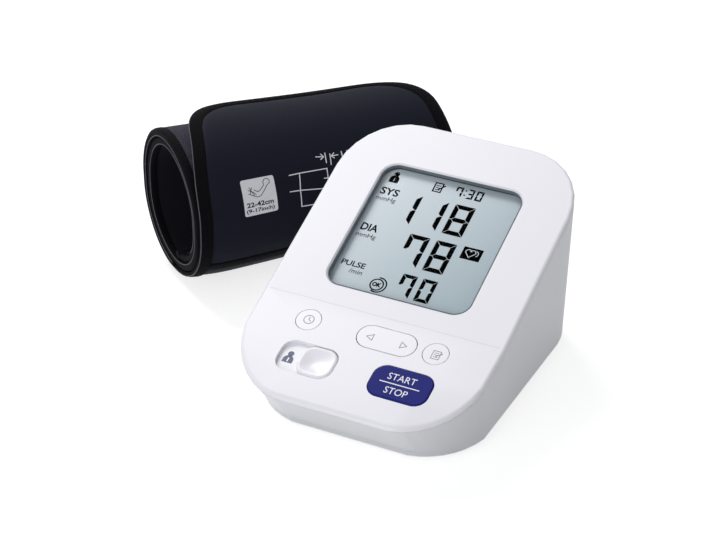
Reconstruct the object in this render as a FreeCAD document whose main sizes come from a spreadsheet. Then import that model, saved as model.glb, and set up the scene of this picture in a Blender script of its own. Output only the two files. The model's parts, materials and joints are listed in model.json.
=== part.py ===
import FreeCAD, Part
import math
import os

import Sketcher
from FreeCAD import Placement, Rotation, Vector

# Desktop blood pressure monitor with its rolled upper-arm cuff.
#
# Frame: millimetres, +Z up, the origin on the table under the middle of the
# whole set. The user is on the -Y side and +X is the user's right.
# Every sub-part is drawn about the middle of the monitor and moved home last.
# The keys lie in a deck frame (x, v up the key slope, n out of the face) and the
# display in a screen frame (the same on the steeper screen slope). Both start at
# the crease between the two faces. The cuff has its own frame: its roll's axis
# is local X, the back of the roll is local +Y.

DOC = FreeCAD.newDocument("BloodPressureMonitor")
NODES = []

X_AXIS = Vector(1, 0, 0)
Y_AXIS = Vector(0, 1, 0)
Z_AXIS = Vector(0, 0, 1)

# alias, value in mm (slopes and angles in degrees), meaning
DRIVING_SIZES = [
    ("home_x", 50.87, "middle of the monitor, right of the set's middle"),
    ("home_y", -38.8, "middle of the monitor, behind the set's middle"),
    ("rim_half_width", 53.5, "half width of the case at its rim"),
    ("rim_half_depth", 70.5, "half depth of the case at its rim"),
    ("rim_corner", 28.5, "corner radius of the rim"),
    ("crease_forward", 22.7, "crease between keys and display, ahead of the middle"),
    ("crease_height", 41.65, "height of the crease above the table"),
    ("key_slope", 18.667, "slope of the key face"),
    ("screen_slope", 22.308, "slope of the display face"),
    ("side_draft", 5.5, "underside narrower than the rim, at each side"),
    ("front_draft", 17.4, "underside shorter than the rim, at the front"),
    ("back_draft", 2.5, "underside shorter than the rim, at the back"),
    ("base_corner", 22.0, "corner radius of the underside"),
    ("foot_gap", 0.8, "underside of the case above the table"),
    ("rim_round", 1.5, "rounding of the rim edge"),
    ("base_round", 4.0, "rounding of the bottom edge"),
    ("wall", 2.2, "wall of the lower case"),
    ("cover_band", 2.4, "thickness of the front cover, measured upright"),
    ("seam_gap", 0.2, "open joint line between cover and case"),
    ("lip_depth", 3.6, "reach of the cover's locating lip into the case"),
    ("lip_wall", 1.3, "thickness of the locating lip"),
    ("lip_fit", 0.15, "clearance between the lip and the case wall"),
    ("screen_half_width", 32.0, "half width of the display opening"),
    ("screen_low", 10.0, "lower edge of the display opening above the crease"),
    ("screen_high", 76.7, "upper edge of the display opening above the crease"),
    ("screen_corner", 7.0, "corner radius of the display opening"),
    ("screen_edge_round", 0.8, "rounding of the display opening's edge"),
    ("window_lap", 2.0, "how far the window reaches under the cover"),
    ("window_thick", 1.0, "thickness of the display window"),
    ("window_fit", 0.1, "clearance round the window in its frame"),
    ("lcd_gap", 0.4, "air gap between window and display"),
    ("lcd_lap", 1.0, "how far the display glass reaches past the opening"),
    ("lcd_thick", 2.8, "thickness of the display glass"),
    ("lcd_frame_rim", 4.2, "display frame's rim outside the opening"),
    ("lcd_frame_depth", 6.6, "depth of the display frame"),
    ("key_row", 10.7, "clock, memory and arrow keys, below the crease"),
    ("round_key_x", 28.2, "clock and memory keys, from the middle"),
    ("round_key_radius", 5.3, "radius of the clock and memory keys"),
    ("arrow_key_x", 6.8, "centre of the arrow rocker, right of the middle"),
    ("arrow_key_half", 12.7, "half length of the arrow rocker"),
    ("arrow_key_radius", 5.6, "end radius of the arrow rocker"),
    ("arrow_tilt_fit", 0.35, "clearance round the arrow rocker, so that it can tilt"),
    ("pivot_depth", 3.6, "arrow rocker's pivot below the key face"),
    ("pivot_radius", 0.95, "radius of the rocker's pivot pins"),
    ("ear_width", 1.6, "width of the rocker's bearing ears"),
    ("pivot_fit", 0.06, "clearance of the pivot pins in their ears"),
    ("low_row", 29.6, "start key and user switch, below the crease"),
    ("start_key_x", 21.4, "centre of the start key, right of the middle"),
    ("start_key_half_width", 12.8, "half width of the start key"),
    ("start_key_half_height", 7.85, "half height of the start key"),
    ("start_key_corner", 5.5, "corner radius of the start key"),
    ("start_key_round", 0.4, "rounding of the start key's top edge"),
    ("start_key_proud", 0.3, "start key's top above the key face"),
    ("key_fit", 0.2, "clearance round the keys"),
    ("key_travel", 0.8, "press travel of the keys"),
    ("key_reserve", 0.15, "gap left above a switch at full press"),
    ("flange_width", 1.2, "retaining flange outside a key"),
    ("flange_thick", 0.9, "thickness of the retaining flange"),
    ("flange_gap", 0.3, "gap between flange and cover"),
    ("key_stem_half", 1.8, "half width of a key's square stem"),
    ("rocker_stem_x", 7.2, "rocker's stems, either side of its pivot"),
    ("rocker_travel", 0.45, "travel of a rocker stem"),
    ("slot_x", 19.7, "centre of the user switch, left of the middle"),
    ("slot_half_width", 12.5, "half width of the user switch recess"),
    ("slot_half_height", 7.8, "half height of the user switch recess"),
    ("slot_corner", 5.6, "corner radius of the user switch recess"),
    ("slot_depth", 2.6, "depth of the user switch recess"),
    ("tray_wall", 1.2, "floor and wall of the recess under the cover"),
    ("knob_half_width", 7.7, "half width of the user switch knob"),
    ("knob_gap", 0.4, "gap round the user switch knob"),
    ("knob_lift", 0.2, "gap under the knob"),
    ("dish_radius", 16.0, "radius of the finger dish in the knob"),
    ("dish_depth", 1.1, "depth of the finger dish in the knob"),
    ("stem_lift", 0.4, "gap between the knob's stem and the slide switch"),
    ("stem_half_x", 2.2, "half length of the knob's stem"),
    ("stem_offset", 3.7, "knob's stem, right of its middle"),
    ("stem_half_v", 1.7, "half thickness of the knob's stem"),
    ("stem_fit", 0.3, "clearance round the knob's stem"),
    ("board_depth", 14.0, "circuit board below the key face"),
    ("board_thick", 1.6, "thickness of the circuit board"),
    ("board_half_width", 36.0, "half width of the circuit board"),
    ("board_low", 41.0, "lower edge of the board below the crease"),
    ("board_short", 37.2, "upper edge of the board, short of the rim's back edge"),
    ("board_corner", 8.0, "corner radius of the circuit board"),
    ("leg_inset", 4.0, "display frame's legs below the board's upper edge"),
    ("post_side", 3.0, "upper board posts outside the round keys"),
    ("post_high", 0.9, "upper board posts above the crease"),
    ("post_middle", 1.2, "lower board post, right of the middle"),
    ("tact_half", 3.0, "half width of a tact switch"),
    ("tact_height", 3.5, "height of a tact switch's housing"),
    ("tact_button", 1.5, "height of a tact switch's button"),
    ("tact_button_half", 1.6, "half width of a tact switch's square button"),
    ("slider_height", 4.0, "height of the slide switch"),
    ("slider_half_v", 2.8, "half width of the slide switch"),
    ("slider_post", 0.8, "half width of the slide switch's post"),
    ("slider_fit", 0.15, "clearance round the slide switch's post"),
    ("post_grip", 1.2, "reach of the post into the knob's stem"),
    ("connector_v", 13.0, "display connector above the crease"),
    ("connector_reach", 29.0, "half length of the display connector"),
    ("connector_half", 1.3, "half width of the display connector"),
    ("screw_side", 8.0, "case screws inside the underside's side edges"),
    ("screw_front", 19.1, "front case screws inside the underside's front edge"),
    ("screw_back", 18.0, "rear case screws inside the underside's back edge"),
    ("case_boss_radius", 4.3, "radius of the lower case's screw bosses"),
    ("cover_boss_radius", 3.4, "radius of the cover's screw bosses"),
    ("boss_meet", 14.0, "height at which the two bosses meet"),
    ("screw_seat", 7.0, "height of a case screw's head seat"),
    ("screw_radius", 1.4, "radius of a case screw"),
    ("screw_head_radius", 2.6, "radius of a case screw's head"),
    ("screw_head_height", 1.9, "height of a case screw's head"),
    ("screw_length", 15.0, "length of a case screw under its head"),
    ("screw_fit", 0.08, "clearance round a screw"),
    ("head_fit", 0.35, "clearance round a screw's head"),
    ("board_screw_radius", 1.0, "radius of a board screw"),
    ("board_screw_head", 1.9, "radius of a board screw's head"),
    ("board_screw_height", 1.3, "height of a board screw's head"),
    ("board_screw_length", 5.5, "length of a board screw under its head"),
    ("board_boss_radius", 2.5, "radius of a board boss"),
    ("cell_radius", 7.1, "radius of an AA cell"),
    ("cell_length", 50.2, "length of an AA cell over its pip"),
    ("cell_pip_radius", 2.75, "radius of a cell's pip"),
    ("cell_pip", 1.4, "height of a cell's pip"),
    ("cell_pitch", 14.7, "distance between neighbouring cells"),
    ("cell_gap", 0.3, "gap under the cells"),
    ("bay_middle", 11.0, "middle of the battery bay behind the monitor's middle"),
    ("bay_side", 1.4, "gap between the outer cells and the bay's wall"),
    ("bay_top", 1.1, "gap between the cells and the bay's roof"),
    ("bay_wall", 3.2, "wall of the battery bay"),
    ("bay_roof", 1.4, "roof of the battery bay"),
    ("spring_reach", 5.4, "spring contacts, from the bay's wall to the cell"),
    ("contact_sheet", 0.4, "thickness of the contacts' sheet metal"),
    ("contact_half", 5.5, "half width of a battery contact"),
    ("door_lap", 1.5, "battery cover's edge outside the bay"),
    ("door_thick", 2.0, "thickness of the battery cover"),
    ("door_fit", 0.25, "clearance round the battery cover"),
    ("latch_half", 6.0, "half width of the battery cover's latch tongue"),
    ("latch_wall", 1.0, "thickness of the latch tongue"),
    ("latch_in", 0.7, "latch tongue behind the bay's inner wall"),
    ("door_lift", 0.15, "gap over the battery cover"),
    ("latch_height", 3.4, "height of the latch tongue"),
    ("hinge_pin_reach", 1.3, "reach of the battery cover's hinge pins"),
    ("hinge_pin_radius", 0.55, "radius of the battery cover's hinge pins"),
    ("hinge_fit", 0.06, "clearance of the hinge pins"),
    ("foot_radius", 4.5, "radius of a rubber foot"),
    ("foot_seat", 0.9, "depth of a foot's recess"),
    ("foot_fit", 0.1, "clearance round a foot in its recess"),
    ("floor_rib_x", 14.0, "stiffening ribs of the floor, from the middle"),
    ("rib_thick", 1.6, "thickness of a stiffening rib"),
    ("rib_height", 5.0, "height of a stiffening rib above the floor"),
    ("foot_side", 19.0, "feet inside the underside's side edges"),
    ("foot_end", 12.0, "feet inside the underside's front and back edges"),
    ("pump_back", 18.0, "pump axis inside the underside's back edge"),
    ("pump_clear", 1.2, "gap between the battery bay's roof and the pump's cushion"),
    ("motor_radius", 12.0, "radius of the pump motor"),
    ("saddle_reach", 5.0, "motor saddles, from the ends of the motor"),
    ("saddle_thick", 2.0, "thickness of a motor saddle"),
    ("motor_start", 9.0, "left end of the pump motor"),
    ("motor_length", 26.0, "length of the pump motor"),
    ("cushion_wall", 1.5, "thinnest wall of the motor's rubber cushion"),
    ("cushion_fit", 0.1, "clearance of the motor in its cushion"),
    ("saddle_fit", 0.2, "gap between the cushion and its saddles"),
    ("head_length", 18.0, "length of the pump head"),
    ("head_half", 11.5, "half width of the pump head"),
    ("crank_radius", 7.0, "radius of the pump head's crank chamber"),
    ("crank_wall", 6.0, "closed end of the pump head"),
    ("shaft_radius", 1.0, "radius of the motor shaft"),
    ("shaft_fit", 0.05, "clearance of the motor shaft"),
    ("eccentric_radius", 4.0, "radius of the pump's eccentric"),
    ("eccentric_throw", 1.6, "throw of the pump's eccentric"),
    ("manifold_side", 12.0, "left end of the air manifold inside the underside's edge"),
    ("manifold_half", 5.0, "half height of the air manifold"),
    ("duct_half", 1.2, "half width of the manifold's air ducts"),
    ("jack_ahead", 12.0, "air jack ahead of the pump axis"),
    ("jack_radius", 4.6, "outer radius of the air jack"),
    ("jack_bore", 2.5, "radius of the air jack's bore"),
    ("jack_bore_depth", 9.0, "depth of the air jack's bore"),
    ("jack_proud", 3.3, "mouth of the air jack outside the underside's edge"),
    ("jack_fit", 0.2, "clearance of the jack in the case wall"),
    ("collar_half", 6.0, "half width of the air jack's square collar"),
    ("collar_inset", 0.6, "air jack's collar inside the underside's edge"),
    ("collar_thick", 1.5, "thickness of the air jack's collar"),
    ("valve_half", 5.5, "half width of the release valve"),
    ("valve_length", 13.0, "length of the release valve"),
    ("valve_x", -19.0, "release valve, from the middle"),
    ("plunger_radius", 1.6, "radius of the valve plunger"),
    ("plunger_fit", 0.05, "clearance of the valve plunger"),
    ("plunger_travel", 1.2, "travel of the valve plunger"),
    ("sensor_half_width", 4.0, "half width of the pressure sensor"),
    ("sensor_half_length", 3.5, "half length of the pressure sensor"),
    ("sensor_thick", 3.0, "thickness of the pressure sensor"),
    ("adapter_x", 22.5, "adapter jack, right of the middle"),
    ("adapter_height", 12.0, "adapter jack above the table"),
    ("adapter_hole", 4.6, "radius of the adapter hole in the case"),
    ("adapter_inset", 2.4, "adapter jack's face, inside the underside's back edge"),
    ("adapter_bore", 2.8, "radius of the adapter jack's bore"),
    ("adapter_pin", 0.9, "radius of the adapter jack's pin"),
    ("adapter_length", 12.0, "length of the adapter jack"),
    ("adapter_half_width", 5.0, "half width of the adapter jack"),
    ("adapter_half_height", 5.2, "half height of the adapter jack"),
    ("adapter_foot_half", 3.5, "half width of the adapter jack's foot"),
    ("adapter_bore_depth", 9.5, "depth of the adapter jack's bore"),
    ("adapter_pin_length", 9.0, "length of the adapter jack's pin"),
    ("cuff_x", -128.4, "left end of the cuff's axis"),
    ("cuff_y", 25.3, "left end of the cuff's axis"),
    ("cuff_turn", 53.25, "yaw of the cuff's axis"),
    ("cuff_length", 131.5, "length of the rolled cuff"),
    ("cuff_taper", 0.87, "right end of the roll as a share of the left end"),
    ("roll_radius", 33.5, "outer radius of the roll's first turn, left end"),
    ("roll_straight", 5.5, "upright run between the roll's half turns"),
    ("strip_thick", 3.6, "thickness of the cuff's padded strip"),
    ("roll_pitch", 3.9, "distance between the roll's turns"),
    ("fabric_thick", 0.9, "thickness of the cuff's cloth"),
    ("curler_thick", 0.5, "thickness of the cuff's stiff inner sheet"),
    ("ply_gap", 0.15, "gap between the cuff's plies"),
    ("piping_wide", 4.0, "width of the cuff's edge piping"),
    ("bladder_inset", 11.0, "air bladder's edge inside the cuff's edge"),
    ("curler_inset", 7.0, "stiff sheet's edge inside the cuff's edge"),
    ("panel_gap", 0.3, "gap between the roll and the panel round it"),
    ("panel_thick", 2.6, "thickness of the cuff's outer panel"),
    ("panel_start", 5.0, "left edge of the outer panel along the roll"),
    ("flap_angle", 35.0, "where the free end leaves the panel, above the front"),
    ("flap_end", 121.0, "where the free end's arc stops, above the front"),
    ("flap_lift", 3.0, "extra radius of the free end"),
    ("flap_reach", 15.0, "free end's edge behind the roll's middle"),
    ("flap_corner", 24.0, "corner radius of the free end"),
    ("flap_left_slant", 12.0, "how far the free end's left edge slants in"),
    ("flap_right_slant", 3.0, "how far the free end's right edge slants in"),
    ("hook_thick", 0.8, "thickness of the hook pad"),
    ("hook_inset", 26.0, "hook pad's end inside the cuff's end"),
    ("spigot_along", 100.0, "hose spigot, along the cuff from its left end"),
    ("spigot_radius", 2.2, "radius of the hose spigot"),
    ("spigot_wall", 0.9, "wall of the hose spigot"),
    ("spigot_length", 8.0, "length of the hose spigot"),
    ("spigot_base_radius", 8.0, "radius of the hose spigot's base"),
    ("spigot_base_thick", 1.6, "thickness of the hose spigot's base"),
]


# --- sizes --------------------------------------------------------------------

class Size:
    """A length with its number and the sheet expression that gives it.

    An @ in the expression stands for the sheet's name.
    """

    def __init__(self, number, text):
        self.number = number
        self.text = text

    @staticmethod
    def of(value):
        if isinstance(value, Size):
            return value
        return Size(float(value), repr(float(value)))

    def __add__(self, other):
        other = Size.of(other)
        return Size(self.number + other.number, f"({self.text} + {other.text})")

    def __sub__(self, other):
        other = Size.of(other)
        return Size(self.number - other.number, f"({self.text} - {other.text})")

    def __mul__(self, other):
        other = Size.of(other)
        return Size(self.number * other.number, f"({self.text} * {other.text})")

    def __truediv__(self, other):
        other = Size.of(other)
        return Size(self.number / other.number, f"({self.text} / {other.text})")

    def __radd__(self, other):
        return Size.of(other) + self

    def __rsub__(self, other):
        return Size.of(other) - self

    def __rmul__(self, other):
        return Size.of(other) * self

    def __neg__(self):
        return Size(-self.number, f"(-{self.text})")

    @property
    def is_bound(self):
        return "@" in self.text

    @property
    def outside(self):
        """The expression as another object of the document writes it."""
        return self.text.replace("@", "Sizes.")

    @property
    def inside(self):
        """The expression as a cell of the sheet writes it."""
        return self.text.replace("@", "")


def sine(angle):
    angle = Size.of(angle)
    return Size(math.sin(math.radians(angle.number)), f"sin({angle.text})")


def cosine(angle):
    angle = Size.of(angle)
    return Size(math.cos(math.radians(angle.number)), f"cos({angle.text})")


def tangent(angle):
    angle = Size.of(angle)
    return Size(math.tan(math.radians(angle.number)), f"tan({angle.text})")


class SizeSheet:
    """The document's spreadsheet. Its aliases read as attributes."""

    def __init__(self, rows):
        self.sheet = DOC.addObject("Spreadsheet::Sheet", "Sizes")
        self.numbers = {}
        for alias, value, meaning in rows:
            self.write(alias, str(value), value, meaning)

    def write(self, alias, content, number, meaning):
        row = len(self.numbers) + 1
        self.sheet.set(f"A{row}", meaning)
        self.sheet.set(f"B{row}", content)
        self.sheet.setAlias(f"B{row}", alias)
        self.numbers[alias] = number

    def derive(self, alias, size, meaning):
        """Add a cell worked out from others."""
        self.write(alias, "=" + size.inside, size.number, meaning)

    def __getattr__(self, alias):
        return Size(self.numbers[alias], "@" + alias)


S = SizeSheet(DRIVING_SIZES)
S.derive("base_half_width", S.rim_half_width - S.side_draft, "half width of the underside")
S.derive("base_front", S.rim_half_depth - S.front_draft, "front edge of the underside, ahead of the middle")
S.derive("base_back", S.rim_half_depth - S.back_draft, "back edge of the underside, behind the middle")
S.derive("pump_y", S.base_back - S.pump_back, "pump axis behind the middle")
S.derive("jack_y", S.pump_y - S.jack_ahead, "air jack behind the middle")
S.derive("jack_face", S.base_half_width + S.jack_proud, "mouth of the air jack, left of the middle")
S.derive("manifold_x", S.base_half_width - S.manifold_side, "left end of the manifold, left of the middle")
S.derive("back_edge", S.crease_height + (S.rim_half_depth + S.crease_forward) * tangent(S.screen_slope),
         "height of the rim's back edge")
S.derive("key_skin", S.cover_band * cosine(S.key_slope), "cover thickness square to the key face")
S.derive("screen_skin", S.cover_band * cosine(S.screen_slope), "cover thickness square to the display")
S.derive("flange_top", S.key_skin + S.flange_gap, "top of a key's flange below the key face")
S.derive("tact_top", S.board_depth - S.tact_height - S.tact_button, "switch tops below the key face")
S.derive("stem_end", S.tact_top - S.key_travel - S.key_reserve, "end of a key's stem below the key face")
S.derive("rocker_stem_end", S.tact_top - S.rocker_travel - S.key_reserve,
         "end of a rocker stem below the key face")
S.derive("lcd_top", S.screen_skin + S.window_thick + S.lcd_gap, "top of the display below its face")
S.derive("lcd_back", S.lcd_top + S.lcd_thick, "back of the display below its face")
S.derive("knob_x", -S.slot_x + S.slot_half_width - S.knob_gap - S.knob_half_width,
         "centre of the knob at rest")
S.derive("knob_travel", 2 * (S.slot_half_width - S.knob_gap - S.knob_half_width), "travel of the knob")
S.derive("door_top", S.foot_gap + S.door_thick, "inside of the battery cover")
S.derive("cell_height", S.door_top + S.cell_gap + S.cell_radius, "axis of the cells above the table")
S.derive("bay_half_width", 1.5 * S.cell_pitch + S.cell_radius + S.bay_side, "half width of the battery bay")
S.derive("bay_half_length", (S.cell_length + S.spring_reach + 2 * S.contact_sheet + 0.2) / 2,
         "half length of the battery bay")
S.derive("bay_ceiling", S.cell_height + S.cell_radius + S.bay_top, "ceiling of the battery bay")
S.derive("pump_height", S.bay_ceiling + S.bay_roof + S.pump_clear + S.cushion_wall + S.motor_radius,
         "pump axis above the table")
S.derive("board_high", S.rim_half_depth + S.crease_forward - S.board_short,
         "upper edge of the board above the crease")
S.derive("panel_radius", S.roll_radius - S.roll_pitch + S.panel_gap, "inner radius of the cuff's panel")
S.derive("roll_top", S.roll_radius + S.roll_straight, "centre of the roll's upper half turns")


# --- drawing helpers ----------------------------------------------------------

def bind(feature, name, size):
    """Give a property its size and tie it to the sheet."""
    size = Size.of(size)
    setattr(feature, name, size.number)
    if size.is_bound:
        feature.setExpression(name, size.outside)


def place(feature, x=0, y=0, z=0, axis=Z_AXIS, angle=0):
    """Put a feature at a point, turned about an axis, and tie both to the sheet."""
    numbers = [Size.of(value) for value in (x, y, z)]
    turn = Size.of(angle)
    feature.Placement = Placement(Vector(*[size.number for size in numbers]), Rotation(axis, turn.number))
    for letter, size in zip("xyz", numbers):
        if size.is_bound:
            feature.setExpression(f"Placement.Base.{letter}", size.outside)
    if turn.is_bound:
        feature.setExpression("Placement.Rotation.Angle", turn.outside)
    return feature


def held(feature):
    """A primitive keeps its own place, so it moves to a frame inside a group."""
    if feature.TypeId in ("Part::Box", "Part::Cylinder", "Part::Prism"):
        return group(feature.Name + "_held", [feature])
    return feature


def on_key_deck(feature):
    return place(held(feature), 0, -S.crease_forward, S.crease_height, X_AXIS, S.key_slope)


def on_screen_deck(feature):
    return place(held(feature), 0, -S.crease_forward, S.crease_height, X_AXIS, S.screen_slope)


def on_cuff(feature):
    return place(held(feature), S.cuff_x, S.cuff_y, 0, Z_AXIS, S.cuff_turn)


def node(label, feature):
    """Move a finished feature home and keep it as a sub-part under its own name."""
    part = place(group("node", [feature]), S.home_x, S.home_y)
    part.Label = label
    NODES.append(part)


def new_body(name):
    return DOC.addObject("PartDesign::Body", name)


def new_sketch(body, plane="XY_Plane", height=0, tilt=0):
    """A sketch on one of the body's origin planes, raised and tilted as asked."""
    sketch = body.newObject("Sketcher::SketchObject", body.Name + "_sketch")
    support = next(item for item in body.Origin.OriginFeatures if item.Role == plane)
    sketch.AttachmentSupport = [(support, "")]
    sketch.MapMode = "FlatFace"
    height = Size.of(height)
    tilt = Size.of(tilt)
    sketch.AttachmentOffset = Placement(Vector(0, 0, height.number), Rotation(X_AXIS, tilt.number))
    if height.is_bound:
        sketch.setExpression("AttachmentOffset.Base.z", height.outside)
    if tilt.is_bound:
        sketch.setExpression("AttachmentOffset.Rotation.Angle", tilt.outside)
    return sketch


def fix(sketch, kind, *where, size):
    """Add one driving dimension to a sketch and tie it to the sheet."""
    size = Size.of(size)
    index = sketch.addConstraint(Sketcher.Constraint(kind, *where, size.number))
    if size.is_bound:
        sketch.setExpression(f"Constraints[{index}]", size.outside)


def fix_point(sketch, shape, end, x, y):
    fix(sketch, "DistanceX", -1, 1, shape, end, size=x)
    fix(sketch, "DistanceY", -1, 1, shape, end, size=y)


def draw_outline(sketch, corners, radius=0):
    """A closed outline through its corners, anticlockwise.

    radius rounds every corner, or is a list with one radius for each.
    """
    count = len(corners)
    radii = radius if isinstance(radius, list) else [radius] * count
    radii = [Size.of(value) for value in radii]
    points = [Vector(Size.of(x).number, Size.of(y).number, 0) for x, y in corners]
    trims = []
    for index, corner in enumerate(points):
        back = (points[index - 1] - corner).normalize()
        ahead = (points[(index + 1) % count] - corner).normalize()
        half = back.getAngle(ahead) / 2
        reach = radii[index].number / math.tan(half)
        centre = corner + (back + ahead).normalize() * (radii[index].number / math.sin(half))
        trims.append((corner + back * reach, corner + ahead * reach, centre))
    lines = []
    for index in range(count):
        edge = Part.LineSegment(trims[index][1], trims[(index + 1) % count][0])
        lines.append(sketch.addGeometry(edge, False))
    for index, (x, y) in enumerate(corners):
        before = lines[index - 1]
        after = lines[index]
        if radii[index].number == 0:
            sketch.addConstraint(Sketcher.Constraint("Coincident", before, 2, after, 1))
            fix_point(sketch, after, 1, x, y)
            continue
        start, end, centre = trims[index]
        circle = Part.Circle(centre, Z_AXIS, radii[index].number)
        begin = math.atan2(start.y - centre.y, start.x - centre.x)
        finish = math.atan2(end.y - centre.y, end.x - centre.x)
        if finish < begin:
            finish += 2 * math.pi
        arc = sketch.addGeometry(Part.ArcOfCircle(circle, begin, finish), False)
        sketch.addConstraint(Sketcher.Constraint("Tangent", before, 2, arc, 1))
        sketch.addConstraint(Sketcher.Constraint("Tangent", arc, 2, after, 1))
        fix(sketch, "Radius", arc, size=radii[index])
        corner = sketch.addGeometry(Part.Point(points[index]), True)
        sketch.addConstraint(Sketcher.Constraint("PointOnObject", corner, 1, before))
        sketch.addConstraint(Sketcher.Constraint("PointOnObject", corner, 1, after))
        fix_point(sketch, corner, 1, x, y)


def draw_box(sketch, x, y, half_x, half_y, radius=0):
    """A rectangle about its centre, with rounded corners."""
    corners = [(x - half_x, y - half_y), (x + half_x, y - half_y),
               (x + half_x, y + half_y), (x - half_x, y + half_y)]
    draw_outline(sketch, corners, radius)


def draw_circle(sketch, x, y, radius):
    centre = Vector(Size.of(x).number, Size.of(y).number, 0)
    circle = sketch.addGeometry(Part.Circle(centre, Z_AXIS, Size.of(radius).number), False)
    fix(sketch, "Radius", circle, size=radius)
    fix_point(sketch, circle, 3, x, y)


def add_pad(body, sketch, length, both_ways=False, downwards=False):
    pad = body.newObject("PartDesign::Pad", body.Name + "_pad")
    pad.Profile = sketch
    pad.SideType = "Symmetric" if both_ways else "One side"
    pad.Reversed = downwards
    bind(pad, "Length", length)
    return pad


def add_pocket(body, sketch, length, upwards=False):
    """Cut a sketch's outline into the body, downwards unless upwards is set."""
    pocket = body.newObject("PartDesign::Pocket", body.Name + "_pocket")
    pocket.Profile = sketch
    pocket.Reversed = upwards
    bind(pocket, "Length", length)
    return pocket


def round_edges(source, radius, choose, kind="Part::Fillet"):
    """Round (or chamfer) those edges of a feature that choose accepts."""
    DOC.recompute()
    picked = [index for index, edge in enumerate(source.Shape.Edges, start=1) if choose(edge)]
    rounded = DOC.addObject(kind, source.Name + "_rounded")
    rounded.Base = source
    rounded.Edges = [(index, Size.of(radius).number, Size.of(radius).number) for index in picked]
    return rounded


def points_of(edge):
    """Five points spread along an edge."""
    span = edge.LastParameter - edge.FirstParameter
    return [edge.valueAt(edge.FirstParameter + span * step / 4) for step in range(5)]


def slab(name, outline, half_width):
    """A prism across the whole width, from an outline in the Y-Z plane."""
    body = new_body(name)
    sketch = new_sketch(body, "YZ_Plane")
    draw_outline(sketch, outline)
    add_pad(body, sketch, 2 * half_width, both_ways=True)
    return body


def block(name, x0, x1, y0, y1, z0, z1):
    """A box between two corners."""
    box = DOC.addObject("Part::Box", name)
    bind(box, "Length", Size.of(x1) - x0)
    bind(box, "Width", Size.of(y1) - y0)
    bind(box, "Height", Size.of(z1) - z0)
    return place(box, x0, y0, z0)


CHORDS = 7        # chords in each quarter of a tapered round


def chord_count(degrees):
    return max(1, round(abs(degrees) / 90 * CHORDS))


def arc_points(x, y, radius, first, last):
    """Points spread evenly along an arc, its ends included. Angles are in degrees."""
    steps = chord_count(last - first)
    angles = [math.radians(first + (last - first) * step / steps) for step in range(steps + 1)]
    return [(x + radius * math.cos(angle), y + radius * math.sin(angle)) for angle in angles]


def flat_faces(corners):
    """One flat face through four corners, or two triangles where they don't lie in a plane."""
    normal = (corners[1] - corners[0]).cross(corners[2] - corners[0]).normalize()
    if abs(normal.dot(corners[3] - corners[0])) > 1e-7:
        return flat_faces_of(corners[:3]) + flat_faces_of([corners[0], corners[2], corners[3]])
    return flat_faces_of(corners)


def flat_faces_of(points):
    return [Part.Face(Part.makePolygon(points + points[:1]))]


def flat_sided(name, rings, last_caps=None):
    """A solid with flat sides through a stack of outlines that have as many points each."""
    faces = flat_faces_of(rings[0])
    for lower, upper in zip(rings, rings[1:]):
        for index in range(len(lower)):
            faces += flat_faces([lower[index - 1], lower[index], upper[index], upper[index - 1]])
    for cap in last_caps or [rings[-1]]:
        faces += flat_faces_of(cap)
    solid = Part.Solid(Part.Shell(faces))
    if solid.Volume < 0:
        solid.reverse()
    feature = DOC.addObject("Part::Feature", name)
    feature.Shape = solid
    return feature


TURNS = {"+Z": (Z_AXIS, 0), "+X": (Y_AXIS, 90), "-X": (Y_AXIS, -90), "+Y": (X_AXIS, -90), "-Y": (X_AXIS, 90)}


def rod(name, radius, length, x, y, z, direction="+Z"):
    """A cylinder from a point, along one of the axes."""
    cylinder = DOC.addObject("Part::Cylinder", name)
    bind(cylinder, "Radius", radius)
    bind(cylinder, "Height", length)
    axis, angle = TURNS[direction]
    return place(cylinder, x, y, z, axis, angle)


def many_sided(name, radius, length, x, y, z, direction="+Z", sides=12):
    """A hidden round, such as a screw, a post or a bore, with few flat sides."""
    prism = DOC.addObject("Part::Prism", name)
    prism.Polygon = sides
    bind(prism, "Circumradius", radius)
    bind(prism, "Height", length)
    axis, angle = TURNS[direction]
    return place(prism, x, y, z, axis, angle)


def fuse(name, *features):
    joined = DOC.addObject("Part::MultiFuse", name)
    joined.Shapes = list(features)
    return joined


def group(name, features):
    """Separate solids kept together as one node."""
    compound = DOC.addObject("Part::Compound", name)
    compound.Links = list(features)
    return compound


def cut(name, base, *tools):
    remainder = DOC.addObject("Part::Cut", name)
    remainder.Base = base
    remainder.Tool = tools[0] if len(tools) == 1 else fuse(name + "_tools", *tools)
    return remainder


def common(name, first, second):
    shared = DOC.addObject("Part::Common", name)
    shared.Base = first
    shared.Tool = second
    return shared


# --- the case's outer form ----------------------------------------------------

FAR = 40          # how far the trimming prisms reach past the case


def face_height(y, drop):
    """Height of the two sloping faces at y, lowered upright by drop."""
    y = Size.of(y)
    slope = S.key_slope if y.number < -S.crease_forward.number else S.screen_slope
    return S.crease_height - drop + (y + S.crease_forward) * tangent(slope)


def above_faces(name, drop):
    """Everything above the sloping faces, lowered by drop."""
    front = -S.rim_half_depth - FAR
    back = S.rim_half_depth + FAR
    ceiling = S.back_edge + 2 * FAR
    outline = [(front, face_height(front, drop)), (-S.crease_forward, S.crease_height - drop),
               (back, face_height(back, drop)), (back, ceiling), (front, ceiling)]
    return slab(name, outline, S.rim_half_width + FAR)


def below_faces(name, drop):
    """Everything below the sloping faces, lowered by drop."""
    front = -S.rim_half_depth - FAR
    back = S.rim_half_depth + FAR
    outline = [(front, -FAR), (back, -FAR), (back, face_height(back, drop)),
               (-S.crease_forward, S.crease_height - drop), (front, face_height(front, drop))]
    return slab(name, outline, S.rim_half_width + FAR)


CORNER_POINTS = CHORDS + 1


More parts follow.
